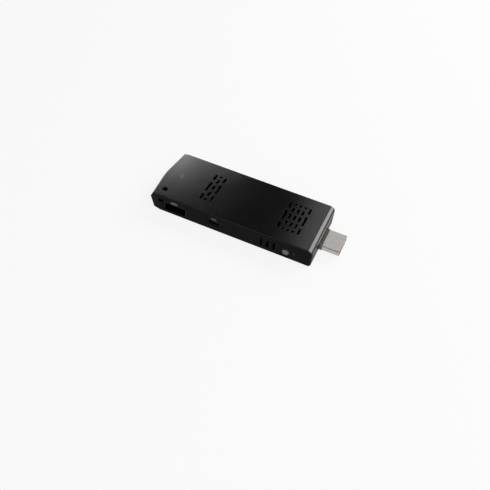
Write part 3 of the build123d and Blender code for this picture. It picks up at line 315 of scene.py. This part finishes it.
def solder_mask():
    """Black lacquer over copper tracks, with a fine weave under it. The lacquer is the board's
    black and is also made this dark as painted shade, so the board stays dark under the vents.
    """
    finish = Finish("solder_mask", Specular_IOR_Level=0.2, Coat_Weight=0.06, Coat_Roughness=0.3)
    tracks = finish.node("ShaderNodeTexBrick", {"offset": 0.5, "squash": 1.6}, {
        "Vector": finish.stretched((1000, 1000, 1000)),
        "Scale": 0.55, "Mortar Size": 0.035, "Mortar Smooth": 0.2, "Bias": 0.0,
    })["Fac"]
    weave = finish.noise(0.25, 2.0)
    # Near-black lacquer: the board's own black, and also painted shade under the vents.
    lacquer = finish.blend(weave, (0.0045, 0.0050, 0.0050), (0.0075, 0.0085, 0.0085))
    finish.set(Base_Color=finish.blend(tracks * 0.7, lacquer, (0.016, 0.020, 0.018)))
    finish.set(Roughness=0.34 + weave * 0.12)
    finish.bump(tracks + weave * 0.15, 0.012, 0.5)
    return finish.material


def moulded_chip(name, shade):
    """Matt filled resin or fired powder, with a fine even grain."""
    finish = Finish(name)
    grain = finish.noise(0.09, 3.0, 0.7)
    pale = tuple(part * 1.8 + 0.006 for part in shade)
    finish.set(Base_Color=finish.blend(grain, shade, pale), Roughness=0.46 + grain * 0.2)
    finish.bump(grain, 0.006, 0.5)
    return finish.material


def printed_grey():
    finish = Finish("printed_grey")
    worn = finish.noise(0.12, 3.0, 0.7)
    finish.set(Base_Color=finish.blend(worn, (0.15, 0.155, 0.155), (0.24, 0.245, 0.245)))
    finish.set(Roughness=0.5 + worn * 0.1)
    return finish.material


def button_plastic():
    """Pale satin disc in a dark rim, with the usual on and off sign, an open ring and a bar."""
    finish = Finish("button_plastic", Specular_IOR_Level=0.5)
    x, y, z = finish.axes()
    low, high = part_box("power_button")
    across = (x - (low.x + high.x) / 2) / MM
    up = (z - (low.z + high.z) / 2) / MM
    radius = (across * across + up * up) ** 0.5
    ring_inner, ring_outer, half_gap, half_bar, disc_radius = 0.62, 0.84, 0.32, 0.11, 1.45
    bar_foot, bar_top, gap_foot, face_depth = 0.15, 1.0, 0.2, 0.2
    ring = (radius > ring_inner) * (radius < ring_outer)
    gap = (up > gap_foot) * (across < half_gap) * (across > -half_gap)
    bar = (across < half_bar) * (across > -half_bar) * (up > bar_foot) * (up < bar_top)
    front = (y - low.y) < face_depth * MM
    sign = (ring * (1 - gap) + bar) * front
    grain = finish.noise(0.15, 2.0)
    disc = finish.blend(grain, (0.125, 0.133, 0.133), (0.160, 0.170, 0.170))
    cap = finish.blend(radius > disc_radius, disc, (0.008, 0.008, 0.008))
    finish.set(Base_Color=finish.blend(sign, cap, (0.02, 0.02, 0.022)))
    finish.set(Roughness=0.38 + grain * 0.1)
    finish.bump(grain, 0.004, 0.4)
    return finish.material


cover_plastic = moulded_plastic(
    "cover_plastic", (0.0018, 0.0019, 0.0020), (0.0030, 0.0031, 0.0032), 0.16, 0.16, 0.0015,
    slotted="top_cover")
case_plastic = moulded_plastic(
    "case_plastic", (0.0026, 0.0029, 0.0028), (0.0046, 0.0051, 0.0049), 0.36, 0.18, 0.005, 0.045)
black_insert = moulded_plastic(
    "black_insert", (0.010, 0.010, 0.010), (0.020, 0.020, 0.020), 0.5, 0.12, 0.005)
light_white = moulded_plastic(
    "light_white", (0.62, 0.62, 0.58), (0.74, 0.74, 0.70), 0.3, 0.1, 0.002)
fan_plastic = moulded_plastic(
    "fan_plastic", (0.005, 0.005, 0.0055), (0.010, 0.010, 0.011), 0.45, 0.15, 0.006, 0.15)
wire_black = moulded_plastic(
    "wire_black", (0.010, 0.010, 0.010), (0.018, 0.018, 0.018), 0.5, 0.2, 0.004)
nickel = plated_metal("nickel", (0.43, 0.415, 0.395), (0.50, 0.48, 0.46), 0.24)
collar_metal = plated_metal("collar_metal", (0.10, 0.095, 0.09), (0.15, 0.145, 0.14), 0.36)
# Nickel darkened as painted shade, for the shade inside the recessed port mouths.
dark_nickel = plated_metal("dark_nickel", (0.030, 0.030, 0.031), (0.055, 0.055, 0.056), 0.38)
# Steel painted black as painted shade, so the fan cover stays dark under the vent slots.
black_steel = plated_metal("black_steel", (0.004, 0.004, 0.004), (0.009, 0.009, 0.009), 0.5)
port_steel = plated_metal("port_steel", (0.46, 0.46, 0.47), (0.62, 0.62, 0.63), 0.32)
cell_steel = plated_metal("cell_steel", (0.06, 0.06, 0.063), (0.10, 0.10, 0.105), 0.5)
gold = plated_metal("gold", (0.72, 0.50, 0.18), (0.86, 0.62, 0.26), 0.24, (4, 1, 4), 0.2)
screw_steel = plated_metal("screw_steel", (0.20, 0.20, 0.21), (0.34, 0.34, 0.36), 0.34)
shield_tin = plated_metal("shield_tin", (0.52, 0.53, 0.54), (0.68, 0.69, 0.70), 0.36)
sink_aluminium = plated_metal("sink_aluminium", (0.56, 0.57, 0.59), (0.72, 0.73, 0.75), 0.34)
copper = plated_metal("copper", (0.62, 0.28, 0.12), (0.78, 0.40, 0.20), 0.30, (3, 3, 1), 0.2)
tin = plated_metal("tin", (0.58, 0.58, 0.60), (0.74, 0.74, 0.76), 0.28, (3, 3, 3), 0.2)
shaft_steel = plated_metal("shaft_steel", (0.46, 0.46, 0.48), (0.60, 0.60, 0.62), 0.22)
bronze = plated_metal("bronze", (0.42, 0.26, 0.11), (0.56, 0.36, 0.17), 0.42)
magnet_ferrite = moulded_chip("magnet_ferrite", (0.030, 0.029, 0.028))
chip_black = moulded_chip("chip_black", (0.010, 0.010, 0.011))
ceramic = moulded_chip("ceramic", (0.26, 0.18, 0.10))
pad_grey = moulded_chip("pad_grey", (0.22, 0.23, 0.26))
film_amber = moulded_chip("film_amber", (0.34, 0.15, 0.03))
print_grey = printed_grey()
window_top = window_plastic("window_top", (0.040, 0.040, 0.041), (0.056, 0.056, 0.058), 0.05)
window_side = window_plastic("window_side", (0.006, 0.006, 0.006), (0.012, 0.012, 0.012), 0.1, 0.1)

finishes = {
    cover_plastic: ["top_cover"],
    case_plastic: ["bottom_case"],
    button_plastic(): ["power_button"],
    window_top: ["top_light_pipe"],
    window_side: ["side_light_pipe"],
    light_white: ["status_lights"],
    nickel: ["video_plug_shell"],
    collar_metal: ["video_plug_collar"],
    dark_nickel: ["data_port_shell", "power_port_shell"],
    port_steel: ["card_socket_shell", "crystals"],
    cell_steel: ["clock_cell"],
    black_steel: ["fan_cover"],
    gold: ["video_plug_contacts", "data_port_contacts", "power_port_contacts",
           "card_socket_contacts"],
    black_insert: ["video_plug_insert", "data_port_tongue", "power_port_tongue",
                   "card_socket_frame", "switch_body", "switch_plunger", "fan_socket"],
    solder_mask(): ["main_board", "wireless_module"],
    screw_steel: ["board_screws", "sink_screws", "fan_screws"],
    shield_tin: ["wireless_shield"],
    sink_aluminium: ["heat_sink"],
    copper: ["fan_coil"],
    shaft_steel: ["fan_shaft"],
    bronze: ["fan_bearing"],
    fan_plastic: ["fan_housing", "fan_impeller"],
    magnet_ferrite: ["fan_magnet", "power_coils"],
    chip_black: ["processor", "memory_chips", "storage_chip", "power_chip"],
    ceramic: ["capacitors"],
    pad_grey: ["thermal_pad"],
    film_amber: ["antennas"],
    wire_black: ["antenna_leads", "fan_lead"],
}
finish_of_node = {name: material for material, names in finishes.items() for name in names}
for name, material in finish_of_node.items():
    nodes[name].data.materials.clear()
    nodes[name].data.materials.append(material)


# Floor and lights

def floor():
    """Pale floor that shows white, whiter still far away, and keeps the object's shadow."""
    reach, drop = 4.0, 0.0002
    corners = [(-reach, -reach, -drop), (reach, -reach, -drop),
               (reach, reach, -drop), (-reach, reach, -drop)]
    mesh = bpy.data.meshes.new("floor")
    mesh.from_pydata(corners, [], [(0, 1, 2, 3)])
    material = bpy.data.materials.new("floor")
    material.use_nodes = True
    paint = Graph(material.node_tree)
    paint.tree.nodes.clear()
    rays = paint.node("ShaderNodeLightPath")
    shown = sum(rays[ray] for ray in ("Is Camera Ray", "Is Glossy Ray", "Is Transmission Ray"))
    place = paint.node("ShaderNodeTexCoord")["Object"]
    away = paint.node("ShaderNodeVectorMath", {"operation": "LENGTH"}, {"Vector": place})["Value"]
    white = 0.85 + away.between(0.2, 1.4) * 0.15
    matt = paint.node("ShaderNodeBsdfDiffuse", None, {"Color": (0.80, 0.80, 0.80)})["BSDF"]
    glow = paint.node("ShaderNodeEmission", None, {"Color": (1, 1, 1)})["Emission"]
    mix = paint.tree.nodes.new("ShaderNodeMixShader")
    for slot, value in zip(mix.inputs, (shown.between(0.0, 1.0) * white, matt, glow)):
        connect(paint.tree, slot, value)
    whole = Signal(paint.tree, mix.outputs[0])
    paint.node("ShaderNodeOutputMaterial", None, {"Surface": whole})
    mesh.materials.append(material)
    new_object("floor", mesh)


def softbox(name, direction, size, radiance):
    """Rectangular lamp a metre away that faces the object, unseen by the camera."""
    lamp = bpy.data.lights.new(name, "AREA")
    lamp.shape = "RECTANGLE"
    lamp.size, lamp.size_y = size
    lamp.energy = radiance * pi * size[0] * size[1]
    holder = new_object(name, lamp)
    holder.location = Vector(direction).normalized()
    holder.rotation_euler = (-holder.location).to_track_quat("-Z", "Y").to_euler()
    holder.visible_camera = False


def light_the_room():
    """A pale band of wall low down all round, three broad lamps in front and a weak one above,
    one behind for the rounded front edge, and three small ones that shade the glossy top."""
    world = bpy.data.worlds.new("room")
    world.use_nodes = True
    bpy.context.scene.world = world
    room = Graph(world.node_tree)
    place = room.node("ShaderNodeTexCoord")["Generated"]
    height = room.node("ShaderNodeSeparateXYZ", None, {"Vector": place})["Z"]
    background = room.tree.nodes["Background"]
    connect(room.tree, background.inputs["Color"], (1, 1, 1))
    connect(room.tree, background.inputs["Strength"], 1.0 - height.between(0.13, 0.28))
    softbox("front", (0.56, -0.75, 0.42), (0.9, 0.6), 1.2)
    softbox("front_left", (-0.78, -0.56, 0.46), (0.6, 0.6), 0.9)
    softbox("front_high", (0.62, -0.30, 0.74), (1.0, 1.0), 1.5)
    softbox("above", (0.0, -0.15, 1.0), (0.8, 0.8), 0.45)
    softbox("back_right", (0.46, 0.69, 0.55), (0.58, 0.56), 6.6)
    softbox("rear_of_top", (-0.74, 1.14, 1.0), (0.13, 0.13), 5.4)
    softbox("far_edge", (-0.62, 1.32, 1.0), (0.13, 0.13), 5.2)
    softbox("front_of_top", (-0.06, 0.96, 1.0), (0.13, 0.32), 1.5)
    bpy.context.scene.view_settings.view_transform = "Standard"


floor()
light_the_room()


# Meshes made point by point

def mesh_from(form, name):
    mesh = bpy.data.meshes.new(name)
    form.to_mesh(mesh)
    form.free()
    return mesh


def point_mesh(name, places):
    mesh = bpy.data.meshes.new(name)
    mesh.from_pydata([tuple(place) for place in places], [], [])
    return mesh


def joined_forms(name, forms):
    """One object from several forms."""
    whole = bmesh.new()
    for form in forms:
        part = mesh_from(form, name)
        whole.from_mesh(part)
        bpy.data.meshes.remove(part)
    return new_object(name, mesh_from(whole, name))


def lathe(profile, steps):
    """Closed form turned about the upright axis from (radius, height) pairs."""
    form = bmesh.new()
    turns = [tau * step / steps for step in range(steps)]
    rings = []
    for radius, height in profile:
        spots = [(radius * cos(turn), radius * sin(turn)) for turn in turns] if radius else [(0, 0)]
        rings.append([form.verts.new((x * MM, y * MM, height * MM)) for x, y in spots])
    for lower, upper in zip(rings, rings[1:]):
        for step in range(steps):
            after = (step + 1) % steps
            if len(lower) == 1:
                form.faces.new((lower[0], upper[after], upper[step]))
            elif len(upper) == 1:
                form.faces.new((lower[step], lower[after], upper[0]))
            else:
                form.faces.new((lower[step], lower[after], upper[after], upper[step]))
    bmesh.ops.recalc_face_normals(form, faces=form.faces)
    return form


def rounded_bar(size, middle, edge):
    """Block with rounded edges."""
    form = bmesh.new()
    bmesh.ops.create_cube(form, size=1.0)
    bmesh.ops.scale(form, vec=Vector(size) * MM, verts=form.verts)
    bmesh.ops.translate(form, vec=Vector(middle) * MM, verts=form.verts)
    bmesh.ops.bevel(form, geom=form.edges[:], offset=edge * MM, segments=2, profile=0.5,
                    affect="EDGES")
    return form


def middle_of(name):
    low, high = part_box(name)
    return (low + high) / 2 / MM


# Printed signs on the near wall

def print_sheet(outlines, wall_y, thickness_mm):
    """Flat print on the near wall, from (x, z) outlines."""
    form = bmesh.new()
    for points in outlines:
        form.faces.new([form.verts.new((x * MM, wall_y, z * MM)) for x, z in points])
    bmesh.ops.recalc_face_normals(form, faces=form.faces)
    for face in form.faces:
        if face.normal.y > 0:
            face.normal_flip()
    extruded = bmesh.ops.extrude_face_region(form, geom=form.faces[:])
    moved = [part for part in extruded["geom"] if isinstance(part, bmesh.types.BMVert)]
    bmesh.ops.translate(form, verts=moved, vec=(0, -thickness_mm * MM, 0))
    bmesh.ops.recalc_face_normals(form, faces=form.faces)
    return form


def bar(x0, x1, z0, z1):
    return [(x0, z0), (x1, z0), (x1, z1), (x0, z1)]


def frame_bars(x0, x1, z0, z1, line):
    return [
        bar(x0, x1, z0, z0 + line), bar(x0, x1, z1 - line, z1),
        bar(x0, x0 + line, z0 + line, z1 - line), bar(x1 - line, x1, z0 + line, z1 - line),
    ]


def port_signs():
    """A small socket sign over the data port and a steady-current sign over the power port."""
    print_depth, data_shift = 0.008, 0.45
    half_frame, frame_foot, frame_top, line = 1.9, 7.95, 9.25, 0.26
    half_tongue, tongue_foot = 1.2, 8.60
    half_bar, bar_foot, dash, dash_foot, stroke = 1.4, 8.62, 0.64, 8.10, 0.24
    data_x = middle_of("data_port_shell").x - data_shift
    power_x = middle_of("power_port_shell").x
    data = frame_bars(data_x - half_frame, data_x + half_frame, frame_foot, frame_top, line)
    data.append(bar(data_x - half_tongue, data_x + half_tongue, tongue_foot, tongue_foot + line))
    power = [bar(power_x - half_bar, power_x + half_bar, bar_foot, bar_foot + stroke)]
    for start in (power_x - half_bar, power_x - dash / 2, power_x + half_bar - dash):
        power.append(bar(start, start + dash, dash_foot, dash_foot + stroke))
    for name, outlines in (("data_sign", data), ("power_sign", power)):
        sheet = print_sheet(outlines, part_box("bottom_case")[0].y, print_depth)
        mesh = mesh_from(sheet, name)
        mesh.materials.append(print_grey)
        piece = new_object(name, mesh)
        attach(piece, "case")


port_signs()


# Finer forms in place of CAD nodes

body_of_node = {name: body for body, names in frame["record"]["behaviour"]["bodies"].items()
                for name in names}


def take_the_place(piece, name):
    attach(piece, body_of_node[name])
    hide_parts(name)


def merged_form(name):
    """A copy of a CAD node with its loose triangles joined and its flat faces made whole."""
    form = bmesh.new()
    form.from_mesh(nodes[name].data)
    bmesh.ops.remove_doubles(form, verts=form.verts, dist=0.002 * MM)
    bmesh.ops.dissolve_limit(form, angle_limit=radians(0.6), verts=form.verts, edges=form.edges)
    return form


def solid_boxes(name):
    """Lowest and highest corners of each separate solid in a CAD node."""
    form = merged_form(name)
    waiting = set(form.verts)
    boxes = []
    while waiting:
        group = [waiting.pop()]
        for vert in group:
            near = [edge.other_vert(vert) for edge in vert.link_edges]
            fresh = [other for other in near if other in waiting]
            waiting.difference_update(fresh)
            group.extend(fresh)
        low = Vector(min(vert.co[axis] for vert in group) for axis in range(3))
        high = Vector(max(vert.co[axis] for vert in group) for axis in range(3))
        boxes.append((low, high))
    form.free()
    return sorted(boxes, key=lambda box: tuple(box[0]))


def softened_edges():
    """Merges a form and shades it smooth except across its sharp edges."""
    shape = Shape("softened_edges", Sharpness=radians(32.0))
    joined = shape.node("GeometryNodeMergeByDistance", None, {
        "Geometry": shape.given["Geometry"], "Distance": 0.0005 * MM})["Geometry"]
    smooth = shape.node("GeometryNodeSetShadeSmooth", {"domain": "FACE"}, {
        "Geometry": joined})["Geometry"]
    angle = shape.node("GeometryNodeInputMeshEdgeAngle")["Unsigned Angle"]
    sharp = angle > shape.given["Sharpness"]
    shape.finish(shape.node("GeometryNodeSetShadeSmooth", {"domain": "EDGE"}, {
        "Geometry": smooth, "Selection": sharp, "Shade Smooth": False})["Geometry"])
    return shape


soften = softened_edges()
cover_low, cover_high = (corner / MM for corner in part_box("top_cover"))
case_low, case_high = (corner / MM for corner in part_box("bottom_case"))
button_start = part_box("power_button")[0].x / MM


def at_a_vent(place):
    """In the flat top, among the two groups of vent slots."""
    skin, rear_margin, nose_margin, side_margin = 0.005, 20, 5, 2
    return (place.z > cover_high.z - skin
            and cover_low.x + rear_margin < place.x < cover_high.x - nose_margin
            and abs(place.y) < cover_high.y - side_margin)


def at_an_outlet(place):
    """In the near wall, at the three upright outlet slots beside the button."""
    skin, farthest, nearest, lowest, rim_margin = 0.05, 12, 0.6, 1.2, 0.6
    return (place.y < case_low.y + skin
            and button_start - farthest < place.x < button_start - nearest
            and lowest < place.z < case_high.z - rim_margin)


slot_mouths = {"top_cover": at_a_vent, "bottom_case": at_an_outlet}
slot_mouth_radius_mm = 0.14


def round_slot_mouths(form, among):
    """Rounds the keen edges whose ends pass a test, the mouths of slots, as a mould does."""
    keen_angle = 1.0
    mouths = [edge for edge in form.edges
              if all(among(vert.co / MM) for vert in edge.verts)
              and len(edge.link_faces) == 2 and edge.calc_face_angle() > keen_angle]
    bmesh.ops.bevel(form, geom=mouths, offset=slot_mouth_radius_mm * MM, segments=3, profile=0.5,
                    affect="EDGES", clamp_overlap=True)


def rounded_piece(name, edge_mm):
    """A CAD node's form with small rounded edges, as a mould or a press leaves them."""
    form = merged_form(name)
    if name in slot_mouths:
        round_slot_mouths(form, slot_mouths[name])
    carrier = new_object(name + "_form", mesh_from(form, name + "_finished"))
    rounding = carrier.modifiers.new("edges", "BEVEL")
    rounding.width = edge_mm * MM
    rounding.segments = 2
    rounding.limit_method = "ANGLE"
    rounding.angle_limit = radians(34)
    piece = soften.run(name + "_finished", carrier, finish_of_node[name], weigh=True)
    take_the_place(piece, name)


for name, slot, edge_mm in (
    ("top_cover", "cover_black", 0.07), ("bottom_case", "case_black", 0.07),
    ("power_button", "button_grey", 0.06), ("video_plug_shell", "plug_metal", 0.04),
    ("video_plug_collar", "plug_metal", 0.08), ("video_plug_insert", "insert_black", 0.03),
    ("heat_sink", "sink_metal", 0.05), ("wireless_shield", "shield_metal", 0.05),
    ("fan_housing", "fan_black", 0.05), ("fan_cover", "fan_black", 0.03),
    ("fan_impeller", "fan_black", 0.04), ("clock_cell", "port_metal", 0.10),
    ("power_coils", "magnet_grey", 0.08), ("crystals", "port_metal", 0.06),
    ("processor", "chip_black", 0.03), ("memory_chips", "chip_black", 0.04),
    ("storage_chip", "chip_black", 0.04), ("power_chip", "chip_black", 0.04),
    ("switch_body", "insert_black", 0.05), ("data_port_shell", "port_metal", 0.03),
    ("power_port_shell", "port_metal", 0.03), ("card_socket_shell", "port_metal", 0.03),
):
    rounded_piece(name, edge_mm)


# Screws with threads and cross recesses

def cross_cutter(reach, width, top, depth):
    """Tapered cross that cuts the recess of a screw head."""
    form = bmesh.new()
    for turned in (False, True):
        levels = []
        for height, share in ((top + 0.2, 1.12), (top - depth, 0.55)):
            half_long, half_wide = reach * share * MM, width / 2 * (0.5 + share / 2) * MM
            if turned:
                half_long, half_wide = half_wide, half_long
            levels.append([form.verts.new((x, y, height * MM)) for x, y in (
                (-half_long, -half_wide), (half_long, -half_wide),
                (half_long, half_wide), (-half_long, half_wide))])
        upper, lower = levels
        form.faces.new(upper)
        form.faces.new(reversed(lower))
        for step in range(4):
            after = (step + 1) % 4
            form.faces.new((lower[step], lower[after], upper[after], upper[step]))
    bmesh.ops.recalc_face_normals(form, faces=form.faces)
    return form


def screw_form(name, head_radius, head_height, core_radius, length):
    """A low domed screw head with a cross recess on a plain core with a blunt point."""
    profile = [
        (0, -length), (core_radius * 0.55, -length), (core_radius, -length + 0.35),
        (core_radius, 0), (head_radius, 0), (head_radius, head_height * 0.45),
        (head_radius * 0.93, head_height * 0.72), (head_radius * 0.72, head_height * 0.93),
        (head_radius * 0.35, head_height), (0, head_height),
    ]
    blank = new_object(name, mesh_from(lathe(profile, 32), name))
    cross = cross_cutter(head_radius * 0.55, head_radius * 0.26, head_height, head_height * 0.62)
    cutter = new_object(name + "_cutter", mesh_from(cross, name + "_cutter"))
    cut = blank.modifiers.new("recess", "BOOLEAN")
    cut.object = cutter
    cut.operation = "DIFFERENCE"
    cut.solver = "EXACT"
    mesh = evaluated_mesh(blank)
    bpy.data.objects.remove(blank)
    bpy.data.objects.remove(cutter)
    return new_object(name, mesh)


def threaded_screws():
    """Screws at points: the blank with a thread wound round it, each turned by chance."""
    shape = Shape("threaded_screws", Blank="", Crest=0.001, Pitch=0.0005, Length=0.002,
                  Depth=0.0001, Seed=3)
    bare_neck = 0.12 * MM
    given = shape.given
    root = given["Crest"] - given["Depth"]
    winding = shape.node("GeometryNodeCurveSpiral", None, {
        "Resolution": 18, "Rotations": given["Length"] / given["Pitch"],
        "Start Radius": root, "End Radius": root, "Height": given["Length"]})["Curve"]
    ridge = shape.node("GeometryNodeCurvePrimitiveCircle", {"mode": "RADIUS"}, {
        "Resolution": 4, "Radius": given["Depth"]})["Curve"]
    thread = shape.node("GeometryNodeCurveToMesh", None, {
        "Curve": winding, "Profile Curve": ridge, "Fill Caps": True})["Mesh"]
    lowest = given["Length"] * -1.0 - bare_neck
    down = shape.node("ShaderNodeCombineXYZ", None, {"Z": lowest})["Vector"]
    thread = shape.node("GeometryNodeTransform", None, {
        "Geometry": thread, "Translation": down})["Geometry"]
    blank = shape.node("GeometryNodeObjectInfo", None, {"Object": given["Blank"]})["Geometry"]
    joined = shape.tree.nodes.new("GeometryNodeJoinGeometry")
    for part in (thread, blank):
        shape.tree.links.new(part.socket, joined.inputs[0])
    turn = shape.node("FunctionNodeRandomValue", {"data_type": "FLOAT"}, {
        "Seed": given["Seed"]})["Value"]
    spin = shape.node("ShaderNodeCombineXYZ", None, {"Z": turn * tau})["Vector"]
    shape.finish(shape.node("GeometryNodeInstanceOnPoints", None, {
        "Points": given["Geometry"], "Instance": Signal(shape.tree, joined.outputs[0]),
        "Rotation": spin})["Instances"])
    return shape


def drive_screws(names):
    """Screws at the places of a node's pins, with their heads at the same height."""
    shape = threaded_screws()
    head_height, core_radius = 0.7, 0.66
    thread_radius, thread_depth, pitch, longest_thread, bare_point = 0.8, 0.16, 0.42, 2.6, 0.5
    for name in names:
        boxes = solid_boxes(name)
        seats = [((low + high) / 2).xy.to_3d() + Vector((0, 0, high.z - head_height * MM))
                 for low, high in boxes]
        low, high = boxes[0]
        length = (high.z - low.z) / MM - head_height
        head_radius = (high.x - low.x) / 2 / MM
        blank = screw_form(name + "_blank", head_radius, head_height, core_radius, length)
        carrier = new_object(name + "_places", point_mesh(name + "_places", seats))
        piece = shape.run(name + "_threaded", carrier, screw_steel, Blank=blank,
                          Crest=thread_radius * MM, Pitch=pitch * MM, Depth=thread_depth * MM,
                          Length=min(length - bare_point, longest_thread) * MM)
        bpy.data.objects.remove(blank)
        take_the_place(piece, name)


drive_screws(("board_screws", "sink_screws", "fan_screws"))


# Small pieces on the board

def repeated_form():
    """The same small form at each point."""
    shape = Shape("repeated_form", Form="")
    form = shape.node("GeometryNodeObjectInfo", None, {"Object": shape.given["Form"]})["Geometry"]
    shape.finish(shape.node("GeometryNodeInstanceOnPoints", None, {
        "Points": shape.given["Geometry"], "Instance": form})["Instances"])
    return shape


repeat = repeated_form()


def chip_capacitors():
    """Ceramic blocks with a plated cap on each end."""
    boxes = solid_boxes("capacitors")
    places = [(low + high) / 2 for low, high in boxes]
    wide, long, tall = (boxes[0][1] - boxes[0][0]) / MM
    cap_share, block_share, block_edge, cap_edge = 0.26, 0.9, 0.03, 0.06
    cap = long * cap_share
    block_size = (wide * block_share, long - cap, tall * block_share)
    block = rounded_bar(block_size, (0, 0, 0), block_edge)
    caps = [rounded_bar((wide, cap, tall), (0, side * (long - cap) / 2, 0), cap_edge)
            for side in (-1, 1)]
    for name, forms, finish, slot in (
            ("capacitor_blocks", [block], ceramic, "ceramic_tan"),
            ("capacitor_ends", caps, tin, "port_metal")):
        form = joined_forms(name + "_form", forms)
        carrier = new_object(name + "_places", point_mesh(name + "_places", places))
        piece = repeat.run(name, carrier, finish, Form=form)
        bpy.data.objects.remove(form)
        take_the_place(piece, "capacitors")


def round_tubes():
    """Smooth round tube along a curve."""
    shape = Shape("round_tubes", Radius=0.0004, Sides=14)
    ring = shape.node("GeometryNodeCurvePrimitiveCircle", {"mode": "RADIUS"}, {
        "Resolution": shape.given["Sides"], "Radius": shape.given["Radius"]})["Curve"]
    tube = shape.node("GeometryNodeCurveToMesh", None, {
        "Curve": shape.given["Geometry"], "Profile Curve": ring, "Fill Caps": True})["Mesh"]
    shape.finish(shape.node("GeometryNodeSetShadeSmooth", None, {"Geometry": tube})["Geometry"])
    return shape


def antenna_routes(radius):
    """Points of the two antenna leads, from the module's sockets to the antenna sheets."""
    far, near = sorted(solid_boxes("antenna_leads"), key=lambda box: -box[0].x)
    (far_low, far_high), (near_low, near_high) = ([corner / MM for corner in box]
                                                  for box in (far, near))
    leave = near_low.z + radius
    far_start_x, far_socket_y, far_turn_x, far_turn_y = far_low.x + 0.12, 11.7, -29.63, 12.6
    near_socket_x, near_turn_y, near_end_y = -32.53, 3.8, 4.59
    return [
        [(far_start_x, far_socket_y, leave), (far_turn_x, far_turn_y, leave),
         (far_turn_x, far_high.y, far_high.z - radius)],
        [(near_socket_x, near_high.y, leave), (near_socket_x, near_turn_y, leave),
         (near_low.x, near_end_y, near_high.z - radius)],
    ]


def blower_routes(radius):
    """Middle lines of the blower's two straight wires, from corner to corner of their boxes."""
    along = Vector((0.829, 0.559, 0)) * radius
    routes = []
    for low, high in solid_boxes("fan_lead"):
        start, end = low / MM + along, high / MM - along
        start.z = end.z = (start.z + end.z) / 2
        routes.append([start, (start + end) / 2, end])
    return routes


def inner_leads():
    """The antenna leads and the blower's wires, as round insulated wire."""
    tubes = round_tubes()
    for name, node, routes_of, radius in (
            ("antenna_wires", "antenna_leads", antenna_routes, 0.4),
            ("blower_wires", "fan_lead", blower_routes, 0.27)):
        curve = bpy.data.curves.new(name, "CURVE")
        curve.dimensions = "3D"
        for route in routes_of(radius):
            spline = curve.splines.new("NURBS")
            spline.points.add(len(route) - 1)
            for point, place in zip(spline.points, route):
                point.co = (*(Vector(place) * MM), 1.0)
            spline.order_u = 3
            spline.use_endpoint_u = True
        piece = tubes.run(name, new_object(name + "_route", curve), wire_black,
                          Radius=radius * MM)
        take_the_place(piece, node)


def solder_joints():
    """Skirts of solder round the tails of the plug's contacts, on both faces of the board."""
    board_low, board_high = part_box("main_board")
    above, below = [], []
    for low, high in solid_boxes("video_plug_contacts"):
        tail = Vector((low.x + 0.5 * MM, (low.y + high.y) / 2, 0))
        if low.z > (board_low.z + board_high.z) / 2:
            above.append(tail + Vector((0, 0, board_high.z)))
        else:
            below.append(tail + Vector((0, 0, board_low.z)))
    skirt = lathe([(0, 0), (0.34, 0), (0.30, 0.05), (0.20, 0.13), (0.12, 0.20), (0, 0.21)], 12)
    bmesh.ops.scale(skirt, vec=(1.5, 1.0, 1.0), verts=skirt.verts)
    hanging = skirt.copy()
    upside_down = Matrix.Rotation(pi, 3, "X")
    bmesh.ops.rotate(hanging, cent=(0, 0, 0), matrix=upside_down, verts=hanging.verts)
    for name, form, places in (("upper_solder", skirt, above), ("lower_solder", hanging, below)):
        source = joined_forms(name + "_joint", [form])
        carrier = new_object(name + "_places", point_mesh(name + "_places", places))
        piece = repeat.run(name, carrier, tin, Form=source)
        bpy.data.objects.remove(source)
        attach(piece, "case")


chip_capacitors()
inner_leads()
solder_joints()
